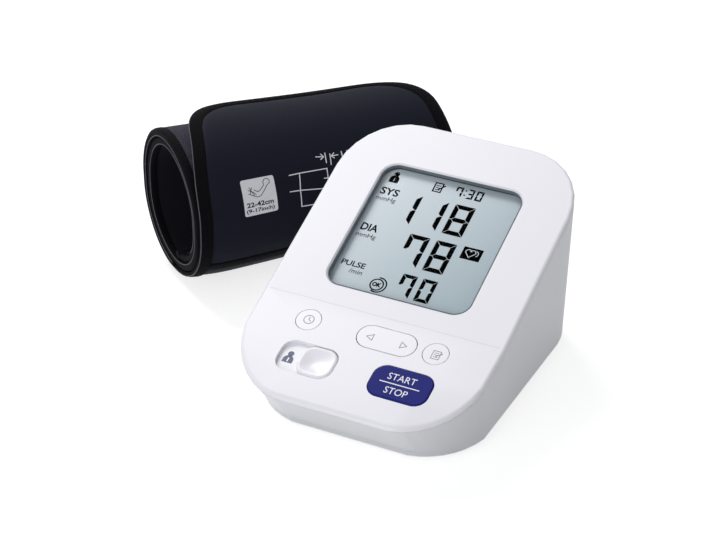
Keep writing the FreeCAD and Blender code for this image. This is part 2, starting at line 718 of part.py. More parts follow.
def case_outline(half, front, back, radius):
    """A rectangle with round corners and a point at each end of the crease, anticlockwise."""
    right = half - radius
    low = front + radius
    high = back - radius
    crease = -S.crease_forward.number
    return (arc_points(right, low, radius, -90, 0) + [(half, crease)]
            + arc_points(right, high, radius, 0, 90) + arc_points(-right, high, radius, 90, 180)
            + [(-half, crease)] + arc_points(-right, low, radius, 180, 270))


def base_ring(inset, height):
    points = case_outline(S.base_half_width.number - inset, inset - S.base_front.number,
                          S.base_back.number - inset, S.base_corner.number - inset)
    return [Vector(x, y, height) for x, y in points]


def rim_ring(inset, drop):
    """The rim's outline, drawn in by inset and laid on the two sloping faces lowered by drop."""
    depth = S.rim_half_depth.number - inset
    points = case_outline(S.rim_half_width.number - inset, -depth, depth, S.rim_corner.number - inset)
    return [Vector(x, y, face_height(y, drop).number) for x, y in points]


ROUND_STEPS = (0, 30, 60, 90)      # degrees at which a rounded edge has a ring


def tapered_form(name, inset, is_outside=False):
    """The case's form between its underside and its two sloping faces, drawn in by inset.

    The outside's edges are rounded. The other forms are as high, so that walls keep their thickness.
    """
    inset = Size.of(inset).number
    base_round = S.base_round.number
    rim_round = S.rim_round.number
    pull = 1 if is_outside else 0
    angles = [math.radians(step) for step in (ROUND_STEPS if is_outside else (0, 90))]
    low = [base_ring(inset + pull * base_round * (1 - math.sin(angle)),
                     S.foot_gap.number + base_round * (1 - math.cos(angle))) for angle in angles]
    high = [rim_ring(inset + pull * rim_round * (1 - math.cos(angle)), rim_round * (1 - math.sin(angle)))
            for angle in angles]
    top = high[-1]
    right = CORNER_POINTS
    left = 3 * CORNER_POINTS + 1
    return flat_sided(name, low + high, [top[right:left + 1], top[left:] + top[:right + 1]])


case_form = tapered_form("case_form", 0, is_outside=True)


# --- front cover --------------------------------------------------------------

ROUND_KEYS = {"clock_button": -1, "memory_button": 1}
BOARD_POSTS = [(-S.round_key_x - S.post_side, S.post_high), (S.round_key_x + S.post_side, S.post_high),
               (S.post_middle, -S.low_row)]
BORE_PAST = 1      # how far a cutter reaches past the face that it opens


def capsule(sketch, x, y, half, radius):
    """A long outline with round ends."""
    draw_box(sketch, x, y, half, radius, radius - 0.01)


def draw_start_key(sketch, grow):
    draw_box(sketch, S.start_key_x, -S.low_row, S.start_key_half_width + grow,
             S.start_key_half_height + grow, S.start_key_corner + grow)


def key_openings():
    """Cutters for the keys and the recess of the user switch, in the deck frame."""
    keys = new_body("key_openings")
    sketch = new_sketch(keys, height=-(S.key_skin + 1))
    for side in ROUND_KEYS.values():
        draw_circle(sketch, side * S.round_key_x, -S.key_row, S.round_key_radius + S.key_fit)
    capsule(sketch, S.arrow_key_x, -S.key_row, S.arrow_key_half + S.arrow_tilt_fit,
            S.arrow_key_radius + S.arrow_tilt_fit)
    draw_start_key(sketch, S.key_fit)
    add_pad(keys, sketch, 2 * S.key_skin + 2)
    recess = new_body("switch_recess")
    sketch = new_sketch(recess, height=-S.slot_depth)
    draw_box(sketch, -S.slot_x, -S.low_row, S.slot_half_width, S.slot_half_height, S.slot_corner)
    add_pad(recess, sketch, 2 * S.slot_depth)
    track_middle = S.knob_x + S.stem_offset - S.knob_travel / 2
    track_half = S.knob_travel / 2 + S.stem_half_x + S.stem_fit
    track_v = S.stem_half_v + S.stem_fit
    track = block("stem_track", track_middle - track_half, track_middle + track_half,
                  -S.low_row - track_v, -S.low_row + track_v, -2 * S.slot_depth, 0)
    return on_key_deck(fuse("deck_openings", keys, recess, track))


def switch_tray():
    """The thickening under the cover that floors the user switch's recess."""
    tray = new_body("switch_tray")
    sketch = new_sketch(tray, height=-(S.slot_depth + S.tray_wall))
    draw_box(sketch, -S.slot_x, -S.low_row, S.slot_half_width + S.tray_wall,
             S.slot_half_height + S.tray_wall, S.slot_corner + S.tray_wall)
    add_pad(tray, sketch, S.slot_depth + S.tray_wall - S.key_skin / 2)
    return tray


def rocker_ears():
    """Two bored ears under the cover, one at each end of the rocker's pivot."""
    reach = S.arrow_key_radius + 2 * S.arrow_tilt_fit + 0.6
    ears = []
    for side in (-1, 1):
        near = -S.key_row + side * reach
        far = near + side * S.ear_width
        low, high = (near, far) if side > 0 else (far, near)
        ears.append(block("ear", S.arrow_key_x - 2.2, S.arrow_key_x + 2.2, low, high,
                          -(S.pivot_depth + 2.2), -S.key_skin / 2))
    bore = rod("ear_bore", S.pivot_radius + S.pivot_fit, 40, S.arrow_key_x, -S.key_row - 20,
               -S.pivot_depth, "+Y")
    return cut("rocker_ears", fuse("ear_pair", *ears), bore)


def board_posts():
    """Posts that carry the circuit board, bored for its screws, in the deck frame."""
    posts = []
    bores = []
    for x, v in BOARD_POSTS:
        posts.append(many_sided("board_post", S.board_boss_radius, S.board_depth - 1, x, v, -S.board_depth))
        bores.append(many_sided("board_pilot", S.board_screw_radius + S.screw_fit,
                                S.board_screw_length + BORE_PAST, x, v, -S.board_depth - BORE_PAST))
    return cut("board_posts", fuse("board_post_set", *posts), fuse("board_pilots", *bores))


def case_screw_places():
    x = S.base_half_width - S.screw_side
    for side in (-1, 1):
        yield side * x, -S.base_front + S.screw_front
        yield side * x, S.base_back - S.screw_back


def cover_bosses():
    """Upright screw bosses that hang from the cover down to the lower case's."""
    bosses = []
    bores = []
    for x, y in case_screw_places():
        start = S.boss_meet + S.seam_gap
        bosses.append(many_sided("cover_boss", S.cover_boss_radius, S.back_edge - start, x, y, start))
        depth = S.screw_seat + S.screw_length + 1 - S.boss_meet
        bores.append(many_sided("cover_pilot", S.screw_radius + S.screw_fit, depth, x, y, S.boss_meet))
    return cut("cover_bosses", fuse("cover_boss_set", *bosses), fuse("cover_pilots", *bores))


def front_cover():
    skin = cut("cover_skin", case_form, below_faces("below_seam", S.cover_band))
    fit = S.wall + S.lip_fit
    ring = cut("lip_ring", tapered_form("lip_outside", fit), tapered_form("lip_inside", fit + S.lip_wall))
    lip_low = cut("lip_low", ring, below_faces("below_lip", S.cover_band + S.lip_depth))
    lip = cut("lip", lip_low, above_faces("above_lip", S.cover_band / 2))
    deck_parts = on_key_deck(fuse("deck_parts", switch_tray(), rocker_ears(), board_posts()))
    bosses = cut("boss_trim", cover_bosses(), above_faces("above_bosses", S.cover_band / 2))
    solid = fuse("cover_solid", skin, lip, deck_parts, bosses)
    screen = new_body("screen_opening")
    sketch = new_sketch(screen, height=-2 * S.cover_band)
    middle = (S.screen_low + S.screen_high) / 2
    draw_box(sketch, 0, middle, S.screen_half_width, (S.screen_high - S.screen_low) / 2, S.screen_corner)
    add_pad(screen, sketch, 4 * S.cover_band)
    opened = cut("cover_opened", solid, key_openings(), on_screen_deck(screen))

    def is_screen_edge(edge):
        inside = all(abs(p.x) < S.screen_half_width.number + 0.01 for p in points_of(edge))
        beyond = all(p.y > 0.5 - S.crease_forward.number for p in points_of(edge))
        on_face = all(abs(p.z - face_height(p.y, 0).number) < 0.01 for p in points_of(edge))
        behind = all(p.y < S.rim_half_depth.number - 5 for p in points_of(edge))
        return inside and beyond and on_face and behind

    node("front_cover", round_edges(opened, S.screen_edge_round, is_screen_edge, "Part::Chamfer"))


# --- display ------------------------------------------------------------------

FRAME_LEGS = [(side * (S.board_half_width - S.board_boss_radius), S.board_high - S.leg_inset)
              for side in (-1, 1)]


def draw_screen(sketch, grow, corner=S.screen_corner):
    """The display opening's outline, grown all round."""
    middle = (S.screen_low + S.screen_high) / 2
    draw_box(sketch, 0, middle, S.screen_half_width + grow, (S.screen_high - S.screen_low) / 2 + grow,
             corner)


def display():
    window = new_body("window")
    sketch = new_sketch(window, height=-S.screen_skin)
    draw_screen(sketch, S.window_lap)
    add_pad(window, sketch, S.window_thick, downwards=True)
    node("display_window", on_screen_deck(window))

    lcd = new_body("lcd")
    sketch = new_sketch(lcd, height=-S.lcd_top)
    draw_screen(sketch, S.lcd_lap, 0)
    add_pad(lcd, sketch, S.lcd_thick, downwards=True)
    node("lcd_panel", on_screen_deck(lcd))

    ring = new_body("frame_ring")
    sketch = new_sketch(ring, height=-S.screen_skin)
    draw_screen(sketch, S.lcd_frame_rim)
    add_pad(ring, sketch, S.lcd_frame_depth, downwards=True)
    sketch = new_sketch(ring, height=-S.screen_skin)
    draw_screen(sketch, S.window_lap + S.window_fit)
    add_pocket(ring, sketch, S.window_thick)
    sketch = new_sketch(ring, height=-S.screen_skin)
    draw_screen(sketch, 0.3)
    add_pocket(ring, sketch, S.lcd_frame_depth)
    sketch = new_sketch(ring, height=-S.lcd_top)
    draw_screen(sketch, S.lcd_lap + S.window_fit, 0)
    add_pocket(ring, sketch, S.lcd_frame_depth)
    legs = []
    pilots = []
    for x, v in FRAME_LEGS:
        legs.append(many_sided("frame_leg", S.board_boss_radius, S.board_depth - 4, x, v, -S.board_depth))
        pilots.append(many_sided("leg_pilot", S.board_screw_radius + S.screw_fit,
                                 S.board_screw_length + BORE_PAST, x, v, -S.board_depth - BORE_PAST))
    clear = new_body("leg_trim")
    sketch = new_sketch(clear, height=-S.lcd_back - S.window_fit)
    draw_screen(sketch, S.lcd_lap + S.window_fit, 0)
    add_pad(clear, sketch, 2 * S.lcd_thick)
    leg_set = on_key_deck(cut("frame_legs", fuse("leg_set", *legs), fuse("leg_pilots", *pilots)))
    trimmed = cut("frame_legs_trimmed", leg_set, on_screen_deck(clear))
    node("lcd_frame", fuse("framed", on_screen_deck(ring), trimmed))

    strip = on_screen_deck(block("strip", -S.connector_reach, S.connector_reach,
                                 S.connector_v - S.connector_half, S.connector_v + S.connector_half,
                                 -2 * S.board_depth, -S.lcd_back))
    ground = on_key_deck(block("strip_trim", -60, 60, -60, 80, -3 * S.board_depth, -S.board_depth))
    node("lcd_connector", cut("trimmed_strip", strip, ground))


# --- keys ---------------------------------------------------------------------

def key_stem(name, x, v, end, half):
    return block(name, x - half, x + half, v - half, v + half, -end, -S.key_skin)


def round_key(label, side):
    body = new_body(label + "_cap")
    sketch = new_sketch(body)
    draw_circle(sketch, side * S.round_key_x, -S.key_row, S.round_key_radius)
    add_pad(body, sketch, S.flange_top, downwards=True)
    sketch = new_sketch(body, height=-S.flange_top)
    draw_circle(sketch, side * S.round_key_x, -S.key_row, S.round_key_radius + S.flange_width)
    add_pad(body, sketch, S.flange_thick, downwards=True)
    stem = key_stem("stem", side * S.round_key_x, -S.key_row, S.stem_end, S.key_stem_half)
    node(label, on_key_deck(fuse(label + "_key", body, stem)))


def start_key():
    body = new_body("start_cap")
    sketch = new_sketch(body, height=S.start_key_proud)
    draw_start_key(sketch, 0)
    add_pad(body, sketch, S.start_key_proud + S.flange_top, downwards=True)
    sketch = new_sketch(body, height=-S.flange_top)
    draw_start_key(sketch, S.flange_width)
    add_pad(body, sketch, S.flange_thick, downwards=True)

    def is_top(edge):
        return all(abs(p.z - S.start_key_proud.number) < 0.01 for p in points_of(edge))

    cap = round_edges(body, S.start_key_round, is_top, "Part::Chamfer")
    stem = key_stem("stem", S.start_key_x, -S.low_row, S.stem_end, S.key_stem_half)
    node("start_stop_button", on_key_deck(fuse("start_key", cap, stem)))


def arrow_rocker():
    """One long key on two pivot pins, with a switch stem under each arrow."""
    body = new_body("rocker_cap")
    sketch = new_sketch(body)
    capsule(sketch, S.arrow_key_x, -S.key_row, S.arrow_key_half, S.arrow_key_radius)
    add_pad(body, sketch, S.key_skin + S.flange_gap, downwards=True)
    hub_half = S.arrow_key_radius - 0.4
    hub = block("rocker_hub", S.arrow_key_x - 2.0, S.arrow_key_x + 2.0, -S.key_row - hub_half,
                -S.key_row + hub_half, -(S.pivot_depth + 1.4), -S.key_skin)
    pin_half = S.arrow_key_radius + 2 * S.arrow_tilt_fit + 0.6 + S.ear_width - 0.1
    pin = rod("rocker_pin", S.pivot_radius, 2 * pin_half, S.arrow_key_x, -S.key_row - pin_half,
              -S.pivot_depth, "+Y")
    stems = [key_stem("rocker_stem", S.arrow_key_x + side * S.rocker_stem_x, -S.key_row,
                      S.rocker_stem_end, 0.8 * S.key_stem_half) for side in (-1, 1)]
    node("arrow_rocker", on_key_deck(fuse("rocker", body, hub, pin, *stems)))


def user_switch():
    knob = new_body("knob")
    sketch = new_sketch(knob)
    corner = S.slot_corner - S.knob_gap
    draw_box(sketch, S.knob_x, -S.low_row, S.knob_half_width, S.slot_half_height - S.knob_gap, corner)
    add_pad(knob, sketch, S.slot_depth - S.knob_lift, downwards=True)
    dish = rod("finger_dish", S.dish_radius, 40, S.knob_x, -S.low_row - 20,
               S.dish_radius - S.dish_depth, "+Y")
    dished = cut("dished_knob", knob, dish)

    stem_x = S.knob_x + S.stem_offset
    post_top = S.board_depth - S.slider_height - S.stem_lift - S.post_grip
    stem = block("knob_stem", stem_x - S.stem_half_x, stem_x + S.stem_half_x,
                 -S.low_row - S.stem_half_v, -S.low_row + S.stem_half_v,
                 -(S.board_depth - S.slider_height - S.stem_lift), -(S.slot_depth - S.knob_lift - 0.2))
    socket = S.slider_post + S.slider_fit
    hole = block("post_socket", stem_x - socket, stem_x + socket, -S.low_row - socket, -S.low_row + socket,
                 -S.board_depth, -(post_top - 0.2))
    node("user_switch_knob", on_key_deck(cut("knob_with_stem", fuse("knob_parts", dished, stem), hole)))

    post = block("post", stem_x - S.slider_post, stem_x + S.slider_post,
                 -S.low_row - S.slider_post, -S.low_row + S.slider_post,
                 -(S.board_depth - 1.4), -post_top)
    node("user_switch_slider", on_key_deck(post))

    track_middle = stem_x - S.knob_travel / 2
    reach = S.knob_travel / 2 + S.slider_post + S.slider_fit
    housing = block("slider_box", track_middle - reach - 1.5, track_middle + reach + 1.5,
                    -S.low_row - S.slider_half_v, -S.low_row + S.slider_half_v,
                    -S.board_depth, -(S.board_depth - S.slider_height))
    track = block("slider_track", track_middle - reach, track_middle + reach,
                  -S.low_row - socket, -S.low_row + socket,
                  -(S.board_depth - 1.2), -(S.board_depth - S.slider_height - 1))
    node("slide_switch", on_key_deck(cut("slider", housing, track)))


# --- circuit board ------------------------------------------------------------

SWITCH_PLACES = [(-S.round_key_x, -S.key_row), (S.round_key_x, -S.key_row),
                 (S.arrow_key_x - S.rocker_stem_x, -S.key_row),
                 (S.arrow_key_x + S.rocker_stem_x, -S.key_row), (S.start_key_x, -S.low_row)]


def board_screw_places():
    return BOARD_POSTS + FRAME_LEGS


def circuit_board():
    board = new_body("board")
    sketch = new_sketch(board, height=-S.board_depth)
    middle = (S.board_high - S.board_low) / 2
    draw_box(sketch, 0, middle, S.board_half_width, (S.board_high + S.board_low) / 2, S.board_corner)
    add_pad(board, sketch, S.board_thick, downwards=True)
    holes = []
    for x, v in board_screw_places():
        holes.append(many_sided("board_hole", S.board_screw_radius + S.screw_fit, 2 * S.board_thick, x, v,
                                -S.board_depth - 1.5 * S.board_thick))
    node("circuit_board", on_key_deck(cut("drilled_board", board, *holes)))

    switches = []
    for x, v in SWITCH_PLACES:
        housing = block("tact_housing", x - S.tact_half, x + S.tact_half, v - S.tact_half, v + S.tact_half,
                        -S.board_depth, -(S.board_depth - S.tact_height))
        half = S.tact_button_half
        plunger = block("tact_plunger", x - half, x + half, v - half, v + half,
                        -(S.board_depth - S.tact_height), -S.tact_top)
        switches.append(fuse("tact_switch", housing, plunger))
    node("tact_switches", on_key_deck(group("tact_set", switches)))

    chips = [block("processor", -8, 6, 24, 38, -(S.board_depth + S.board_thick + 2.0),
                   -(S.board_depth + S.board_thick)),
             block("memory_chip", 14, 20, 26, 34, -(S.board_depth + S.board_thick + 1.6),
                   -(S.board_depth + S.board_thick)),
             block("buzzer", -26, -15, 24, 35, -(S.board_depth + S.board_thick + 4.0),
                   -(S.board_depth + S.board_thick))]
    node("board_chips", on_key_deck(group("chips", chips)))

    screws = []
    for x, v in board_screw_places():
        under = S.board_depth + S.board_thick
        head = many_sided("board_screw_top", S.board_screw_head, S.board_screw_height, x, v,
                          -(under + S.board_screw_height))
        shank = many_sided("board_screw_shank", S.board_screw_radius, S.board_screw_length, x, v, -under)
        screws.append(fuse("board_screw", head, shank))
    node("board_screws", on_key_deck(group("board_screw_set", screws)))


# --- lower case ---------------------------------------------------------------

def bay_ends():
    return S.bay_middle - S.bay_half_length, S.bay_middle + S.bay_half_length


def foot_places():
    x = S.base_half_width - S.foot_side
    for side in (-1, 1):
        yield side * x, -S.base_front + S.foot_end
        yield side * x, S.base_back - S.foot_end


FOOT_SIDES = 16


def motor_saddles(floor):
    """The ribs on the case's floor that carry the pump and the manifold."""
    reach = S.motor_radius + S.cushion_wall + S.saddle_fit
    wide = reach + S.saddle_thick
    bottom = S.pump_height - reach
    saddles = []
    motor_end = S.motor_start + S.motor_length
    for x in (S.motor_start + S.saddle_reach, motor_end - S.saddle_reach):
        left = x - S.saddle_thick / 2
        right = x + S.saddle_thick / 2
        rib = block("motor_saddle", left, right, S.pump_y - wide, S.pump_y + reach, S.foot_gap,
                    S.pump_height)
        notch = block("saddle_notch", left - 1, right + 1, S.pump_y - reach, S.pump_y + wide, bottom,
                      S.pump_height + 1)
        saddles.append(cut("notched_saddle", rib, notch))
    head_left = S.motor_start - S.head_length / 2 - S.saddle_thick
    saddles.append(block("head_rest", head_left, head_left + S.saddle_thick, S.pump_y - S.head_half / 2,
                         S.pump_y + S.head_half / 2, S.foot_gap, S.pump_height - S.head_half))
    saddles.append(block("manifold_rest", -S.manifold_x, -S.manifold_x + S.manifold_half,
                         S.pump_y - S.manifold_half / 2, S.pump_y + S.manifold_half / 2, S.foot_gap,
                         S.pump_height - S.manifold_half))
    return saddles


def lower_case():
    shell = cut("case_below_seam", case_form, above_faces("above_case_seam", S.cover_band + S.seam_gap))
    floor = S.foot_gap + S.wall
    room = cut("room", tapered_form("room_loft", S.wall),
               block("under_room", -S.rim_half_width, S.rim_half_width, -S.rim_half_depth, S.rim_half_depth,
                     -BORE_PAST, floor))
    near, far = bay_ends()
    bay_outside = block("bay_outside", -(S.bay_half_width + S.bay_wall), S.bay_half_width + S.bay_wall,
                        near - S.bay_wall, far + S.bay_wall, floor - 1, S.bay_ceiling + S.bay_roof)
    adds = [cut("case_walls", shell, room), bay_outside]
    cuts = []
    for x, y in case_screw_places():
        adds.append(many_sided("case_boss", S.case_boss_radius, S.boss_meet - S.foot_gap, x, y, S.foot_gap))
        cuts.append(many_sided("head_bore", S.screw_head_radius + S.head_fit, S.screw_seat + BORE_PAST,
                               x, y, -BORE_PAST))
        cuts.append(many_sided("shank_bore", S.screw_radius + S.screw_fit, S.boss_meet + BORE_PAST, x, y, 0))
    for x, y in foot_places():
        cuts.append(many_sided("foot_recess", S.foot_radius + S.foot_fit, S.foot_gap + S.foot_seat, x, y, 0,
                               sides=FOOT_SIDES))
    adds += motor_saddles(floor)
    for x in (-S.floor_rib_x, S.floor_rib_x):
        adds.append(block("floor_rib", x - S.rib_thick / 2, x + S.rib_thick / 2, S.foot_end - S.base_front,
                          near - S.bay_wall / 2, S.foot_gap, floor + S.rib_height))
    cuts.append(block("bay_inside", -S.bay_half_width, S.bay_half_width, near, far, -BORE_PAST,
                      S.bay_ceiling))
    cuts.append(block("door_recess", -(S.bay_half_width + S.door_lap), S.bay_half_width + S.door_lap,
                      near - S.door_lap, far + S.door_lap, -BORE_PAST, S.door_top + S.door_lift))
    cuts.append(block("latch_slot", -S.latch_half - 0.4, S.latch_half + 0.4, far + S.latch_in - 0.35,
                      far + S.latch_in + S.latch_wall + 0.45, 0, S.door_top + S.latch_height + 0.6))
    pin_half = S.bay_half_width + S.door_lap - S.door_fit + S.hinge_pin_reach + 0.2
    cuts.append(rod("hinge_bore", S.hinge_pin_radius + S.hinge_fit, 2 * pin_half, -pin_half,
                    hinge_y(), hinge_z(), "+X"))
    cuts.append(rod("jack_hole", S.jack_radius + S.jack_fit, 20, -60, S.jack_y, S.pump_height, "+X"))
    cuts.append(rod("adapter_hole", S.adapter_hole, 20, S.adapter_x, S.base_back - 6, S.adapter_height, "+Y"))
    node("lower_case", cut("case", fuse("case_solid", *adds), *cuts))


def hinge_y():
    return S.bay_middle - S.bay_half_length - S.door_lap + S.door_fit + S.door_thick / 2


def hinge_z():
    return S.foot_gap + S.door_thick / 2


def battery_cover():
    """A plate on two hinge pins, with a snap tongue and a finger notch."""
    near, far = bay_ends()
    half = S.bay_half_width + S.door_lap - S.door_fit
    door = new_body("door")
    sketch = new_sketch(door, "YZ_Plane")
    start = near - S.door_lap + S.door_fit
    end = far + S.door_lap - S.door_fit
    draw_outline(sketch, [(start, S.foot_gap), (end, S.foot_gap), (end, S.door_top), (start, S.door_top)],
                 [S.door_thick / 2 - 0.01, 0, 0, S.door_thick / 2 - 0.01])
    add_pad(door, sketch, 2 * half, both_ways=True)
    notch = new_sketch(door, height=S.foot_gap)
    draw_box(notch, 0, far - 3.5, 9, 2.5, 2.4)
    add_pocket(door, notch, 0.9, upwards=True)
    pins = rod("door_pins", S.hinge_pin_radius, 2 * (half + S.hinge_pin_reach), -half - S.hinge_pin_reach,
               hinge_y(), hinge_z(), "+X")
    tongue = block("door_tongue", -S.latch_half, S.latch_half, far + S.latch_in,
                   far + S.latch_in + S.latch_wall, S.door_top - 0.5, S.door_top + S.latch_height)
    node("battery_cover", fuse("hinged_door", door, pins, tongue))


CELL_SIDES = 20
MOTOR_SIDES = 20


def cell_places():
    for index in range(4):
        yield (index - 1.5) * S.cell_pitch, 1 if index % 2 == 0 else -1


def battery_set():
    near, far = bay_ends()
    sheet = S.contact_sheet
    cells = []
    plates = []
    springs = []
    for x, facing in cell_places():
        tip = far - sheet - 0.1 if facing > 0 else near + sheet + 0.1
        start = tip - facing * S.cell_length
        can = S.cell_length - S.cell_pip
        way = "+Y" if facing > 0 else "-Y"
        body = many_sided("cell_can", S.cell_radius, can, x, start, S.cell_height, way, CELL_SIDES)
        pip = many_sided("cell_pip", S.cell_pip_radius, S.cell_length, x, start, S.cell_height, way)
        cells.append(fuse("cell", body, pip))
        wall = far if facing > 0 else near
        back, front = (wall - sheet, wall) if facing > 0 else (wall, wall + sheet)
        plates.append(block("plate", x - S.contact_half, x + S.contact_half, back, front,
                            S.cell_height - S.contact_half, S.cell_height + S.contact_half))
        springs.append(leaf_spring(x, -facing, near if facing > 0 else far, start))
    node("aa_cells", group("cell_set", cells))
    node("battery_plates", group("plate_set", plates))
    node("battery_springs", group("spring_set", springs))


def leaf_spring(x, side, wall, cell_end):
    """A kinked strip from the bay's wall to a cell's flat end.

    side is -1 when it stands on the front wall and 1 on the back wall.
    """
    sheet = S.contact_sheet
    low = S.cell_height - S.contact_half
    high = S.cell_height + S.contact_half
    touch = cell_end + side * 0.1
    peak = S.cell_height - 1.0
    outline = [(wall, low), (wall, high), (wall - side * sheet, high),
               (wall - side * sheet, low + 1.2), (touch + side * sheet, peak),
               (touch + side * sheet, high - 1.5), (touch, high - 1.5), (touch, peak - 0.3),
               (wall - side * sheet, low)]
    if side > 0:
        outline.reverse()
    body = new_body("leaf")
    sketch = new_sketch(body, "YZ_Plane", height=x)
    draw_outline(sketch, outline)
    add_pad(body, sketch, 8.0, both_ways=True)
    return body


def feet_and_screws():
    feet = [many_sided("foot", S.foot_radius, S.foot_gap + S.foot_seat, x, y, 0, sides=FOOT_SIDES)
            for x, y in foot_places()]
    node("rubber_feet", group("feet", feet))
    screws = []
    for x, y in case_screw_places():
        head = many_sided("screw_top", S.screw_head_radius, S.screw_head_height, x, y,
                          S.screw_seat - S.screw_head_height)
        shank = many_sided("screw_shank", S.screw_radius, S.screw_length, x, y, S.screw_seat)
        slot = block("screw_slot", x - 1.7, x + 1.7, y - 0.35, y + 0.35, 0,
                     S.screw_seat - S.screw_head_height + 0.8)
        screws.append(cut("slotted_screw", fuse("case_screw", head, shank), slot))
    node("case_screws", group("case_screw_set", screws))


# --- air system ---------------------------------------------------------------

BORE_SIDES = 12
SNUG = 1 / math.cos(math.pi / BORE_SIDES)    # a flat-sided bore that just clears a round shaft


def pump():
    y = S.pump_y
    z = S.pump_height
    can = many_sided("motor_can", S.motor_radius, S.motor_length, S.motor_start, y, z, "+X", MOTOR_SIDES)
    bore = many_sided("motor_bore", (S.shaft_radius + S.shaft_fit) * SNUG, S.motor_length - BORE_PAST,
                      S.motor_start - BORE_PAST, y, z, "+X")
    node("pump_motor", cut("bored_motor", can, bore))

    half = S.motor_radius + S.cushion_wall
    sleeve = block("cushion_block", S.motor_start + 2, S.motor_start + S.motor_length - 2, y - half, y + half,
                   z - half, z + half)
    inside = many_sided("cushion_bore", S.motor_radius + S.cushion_fit, S.motor_length, S.motor_start, y, z,
                        "+X", MOTOR_SIDES)
    node("pump_cushion", cut("cushion", sleeve, inside))

    head = block("head_block", S.motor_start - S.head_length, S.motor_start, y - S.head_half,
                 y + S.head_half, z - S.head_half, z + S.head_half)
    chamber = many_sided("crank_chamber", S.crank_radius * SNUG, S.head_length - S.crank_wall + BORE_PAST,
                         S.motor_start + BORE_PAST, y, z, "-X")
    port = block("head_port", S.motor_start - 2 * S.head_length, S.motor_start - S.crank_wall,
                 y - S.duct_half, y + S.duct_half, z - S.duct_half, z + S.duct_half)
    node("pump_head", cut("bored_head", head, chamber, port))

    shaft = many_sided("shaft", S.shaft_radius, S.motor_length + 6, S.motor_start - 9.0, y, z, "+X")
    eccentric = many_sided("eccentric", S.eccentric_radius, 6.0, S.motor_start - 8.5, y,
                           z + S.eccentric_throw, "+X", MOTOR_SIDES)
    node("pump_rotor", fuse("rotor", shaft, eccentric))


def duct(name, x0, x1, y0, y1, z0, z1):
    """A square air duct round a straight line, open at both its ends."""
    sides = []
    for low, high in ((x0, x1), (y0, y1), (z0, z1)):
        is_across = Size.of(low).number == Size.of(high).number
        sides += [low - S.duct_half, high + S.duct_half] if is_across else [low, high]
    return block(name, *sides)


def air_line():
    y = S.pump_y
    z = S.pump_height
    half = S.manifold_half
    right = S.motor_start - S.head_length
    run = block("manifold_run", -S.manifold_x, right, y - half, y + half, z - half, z + half)
    arm = block("manifold_arm", -S.manifold_x, -S.manifold_x + 2 * half, S.jack_y - half, y + half,
                z - half, z + half)
    turn_x = -S.manifold_x + half
    valve_x = S.valve_x
    ducts = [duct("run_duct", turn_x, right + BORE_PAST, y, y, z, z),
             duct("arm_duct", turn_x, turn_x, S.jack_y, y, z, z),
             duct("jack_passage", -S.manifold_x - BORE_PAST, turn_x, S.jack_y, S.jack_y, z, z),
             duct("valve_port", valve_x, valve_x, y, y, z, z + half + BORE_PAST)]
    node("air_manifold", cut("manifold", fuse("manifold_block", run, arm), *ducts))

    tube = rod("jack_tube", S.jack_radius, S.jack_face - S.manifold_x, -S.jack_face, S.jack_y, z, "+X")
    inside = -S.base_half_width + S.collar_inset
    collar = block("jack_collar", inside, inside + S.collar_thick, S.jack_y - S.collar_half,
                   S.jack_y + S.collar_half, z - S.collar_half, z + S.collar_half)
    bore = rod("jack_bore", S.jack_bore, S.jack_bore_depth + BORE_PAST, -S.jack_face - BORE_PAST, S.jack_y, z,
               "+X")
    passage = duct("jack_duct", -S.jack_face, BORE_PAST - S.manifold_x, S.jack_y, S.jack_y, z, z)
    node("air_jack", cut("bored_jack", fuse("jack_body", tube, collar), bore, passage))

    base = z + half
    top = base + S.valve_length
    coil = block("valve_coil", S.valve_x - S.valve_half, S.valve_x + S.valve_half, y - S.valve_half + 0.5,
                 y + S.valve_half - 0.5, base, top)
    guide = many_sided("plunger_bore", S.plunger_radius + S.plunger_fit, S.valve_length + 2, S.valve_x, y,
                       base - 1)
    node("release_valve", cut("valve", coil, guide))
    seat_gap = S.plunger_travel + 0.1
    plunger = many_sided("plunger", S.plunger_radius, S.valve_length + 0.4, S.valve_x, y, base + seat_gap)
    cap = many_sided("plunger_cap", S.plunger_radius + 1, 0.8, S.valve_x, y, top + seat_gap + 0.2)
    node("valve_plunger", fuse("capped_plunger", plunger, cap))

    wide = S.sensor_half_width
    long = S.sensor_half_length
    sensor = block("sensor_body", turn_x - wide, turn_x + wide, S.jack_y - long, S.jack_y + long, base,
                   base + S.sensor_thick)
    node("pressure_sensor", sensor)


def adapter_jack():
    face = S.base_back - S.adapter_inset
    x = S.adapter_x
    z = S.adapter_height
    half = S.adapter_half_width
    tall = S.adapter_half_height
    back = face - S.adapter_length
    shell = block("adapter_body", x - half, x + half, back, face, z - tall, z + tall)
    foot_half = S.adapter_foot_half
    foot = block("adapter_foot", x - foot_half, x + foot_half, back + 1, face - 1, S.foot_gap + S.wall, z)
    bore = rod("adapter_bore", S.adapter_bore, S.adapter_bore_depth, x, face, z, "-Y")
    pin = many_sided("adapter_pin", S.adapter_pin, S.adapter_pin_length, x, back + 2, z, "+Y")
    node("adapter_jack", fuse("adapter", cut("adapter_shell", fuse("adapter_solid", shell, foot), bore), pin))


# --- cuff ---------------------------------------------------------------------

def taper_at(along):
    """Share of the left end's size that is left at a point along the roll."""
    return 1 - (1 - S.cuff_taper) * along / S.cuff_length


def band_points(turns, depth, scale):
    """Points along a path of half turns joined by straights, depth inside its radius."""
    points = []
    for y, z, radius, first, last in turns:
        numbers = [Size.of(size).number * scale for size in (y, z, radius - depth)]
        points += arc_points(*numbers, Size.of(first).number, Size.of(last).number)
    return points


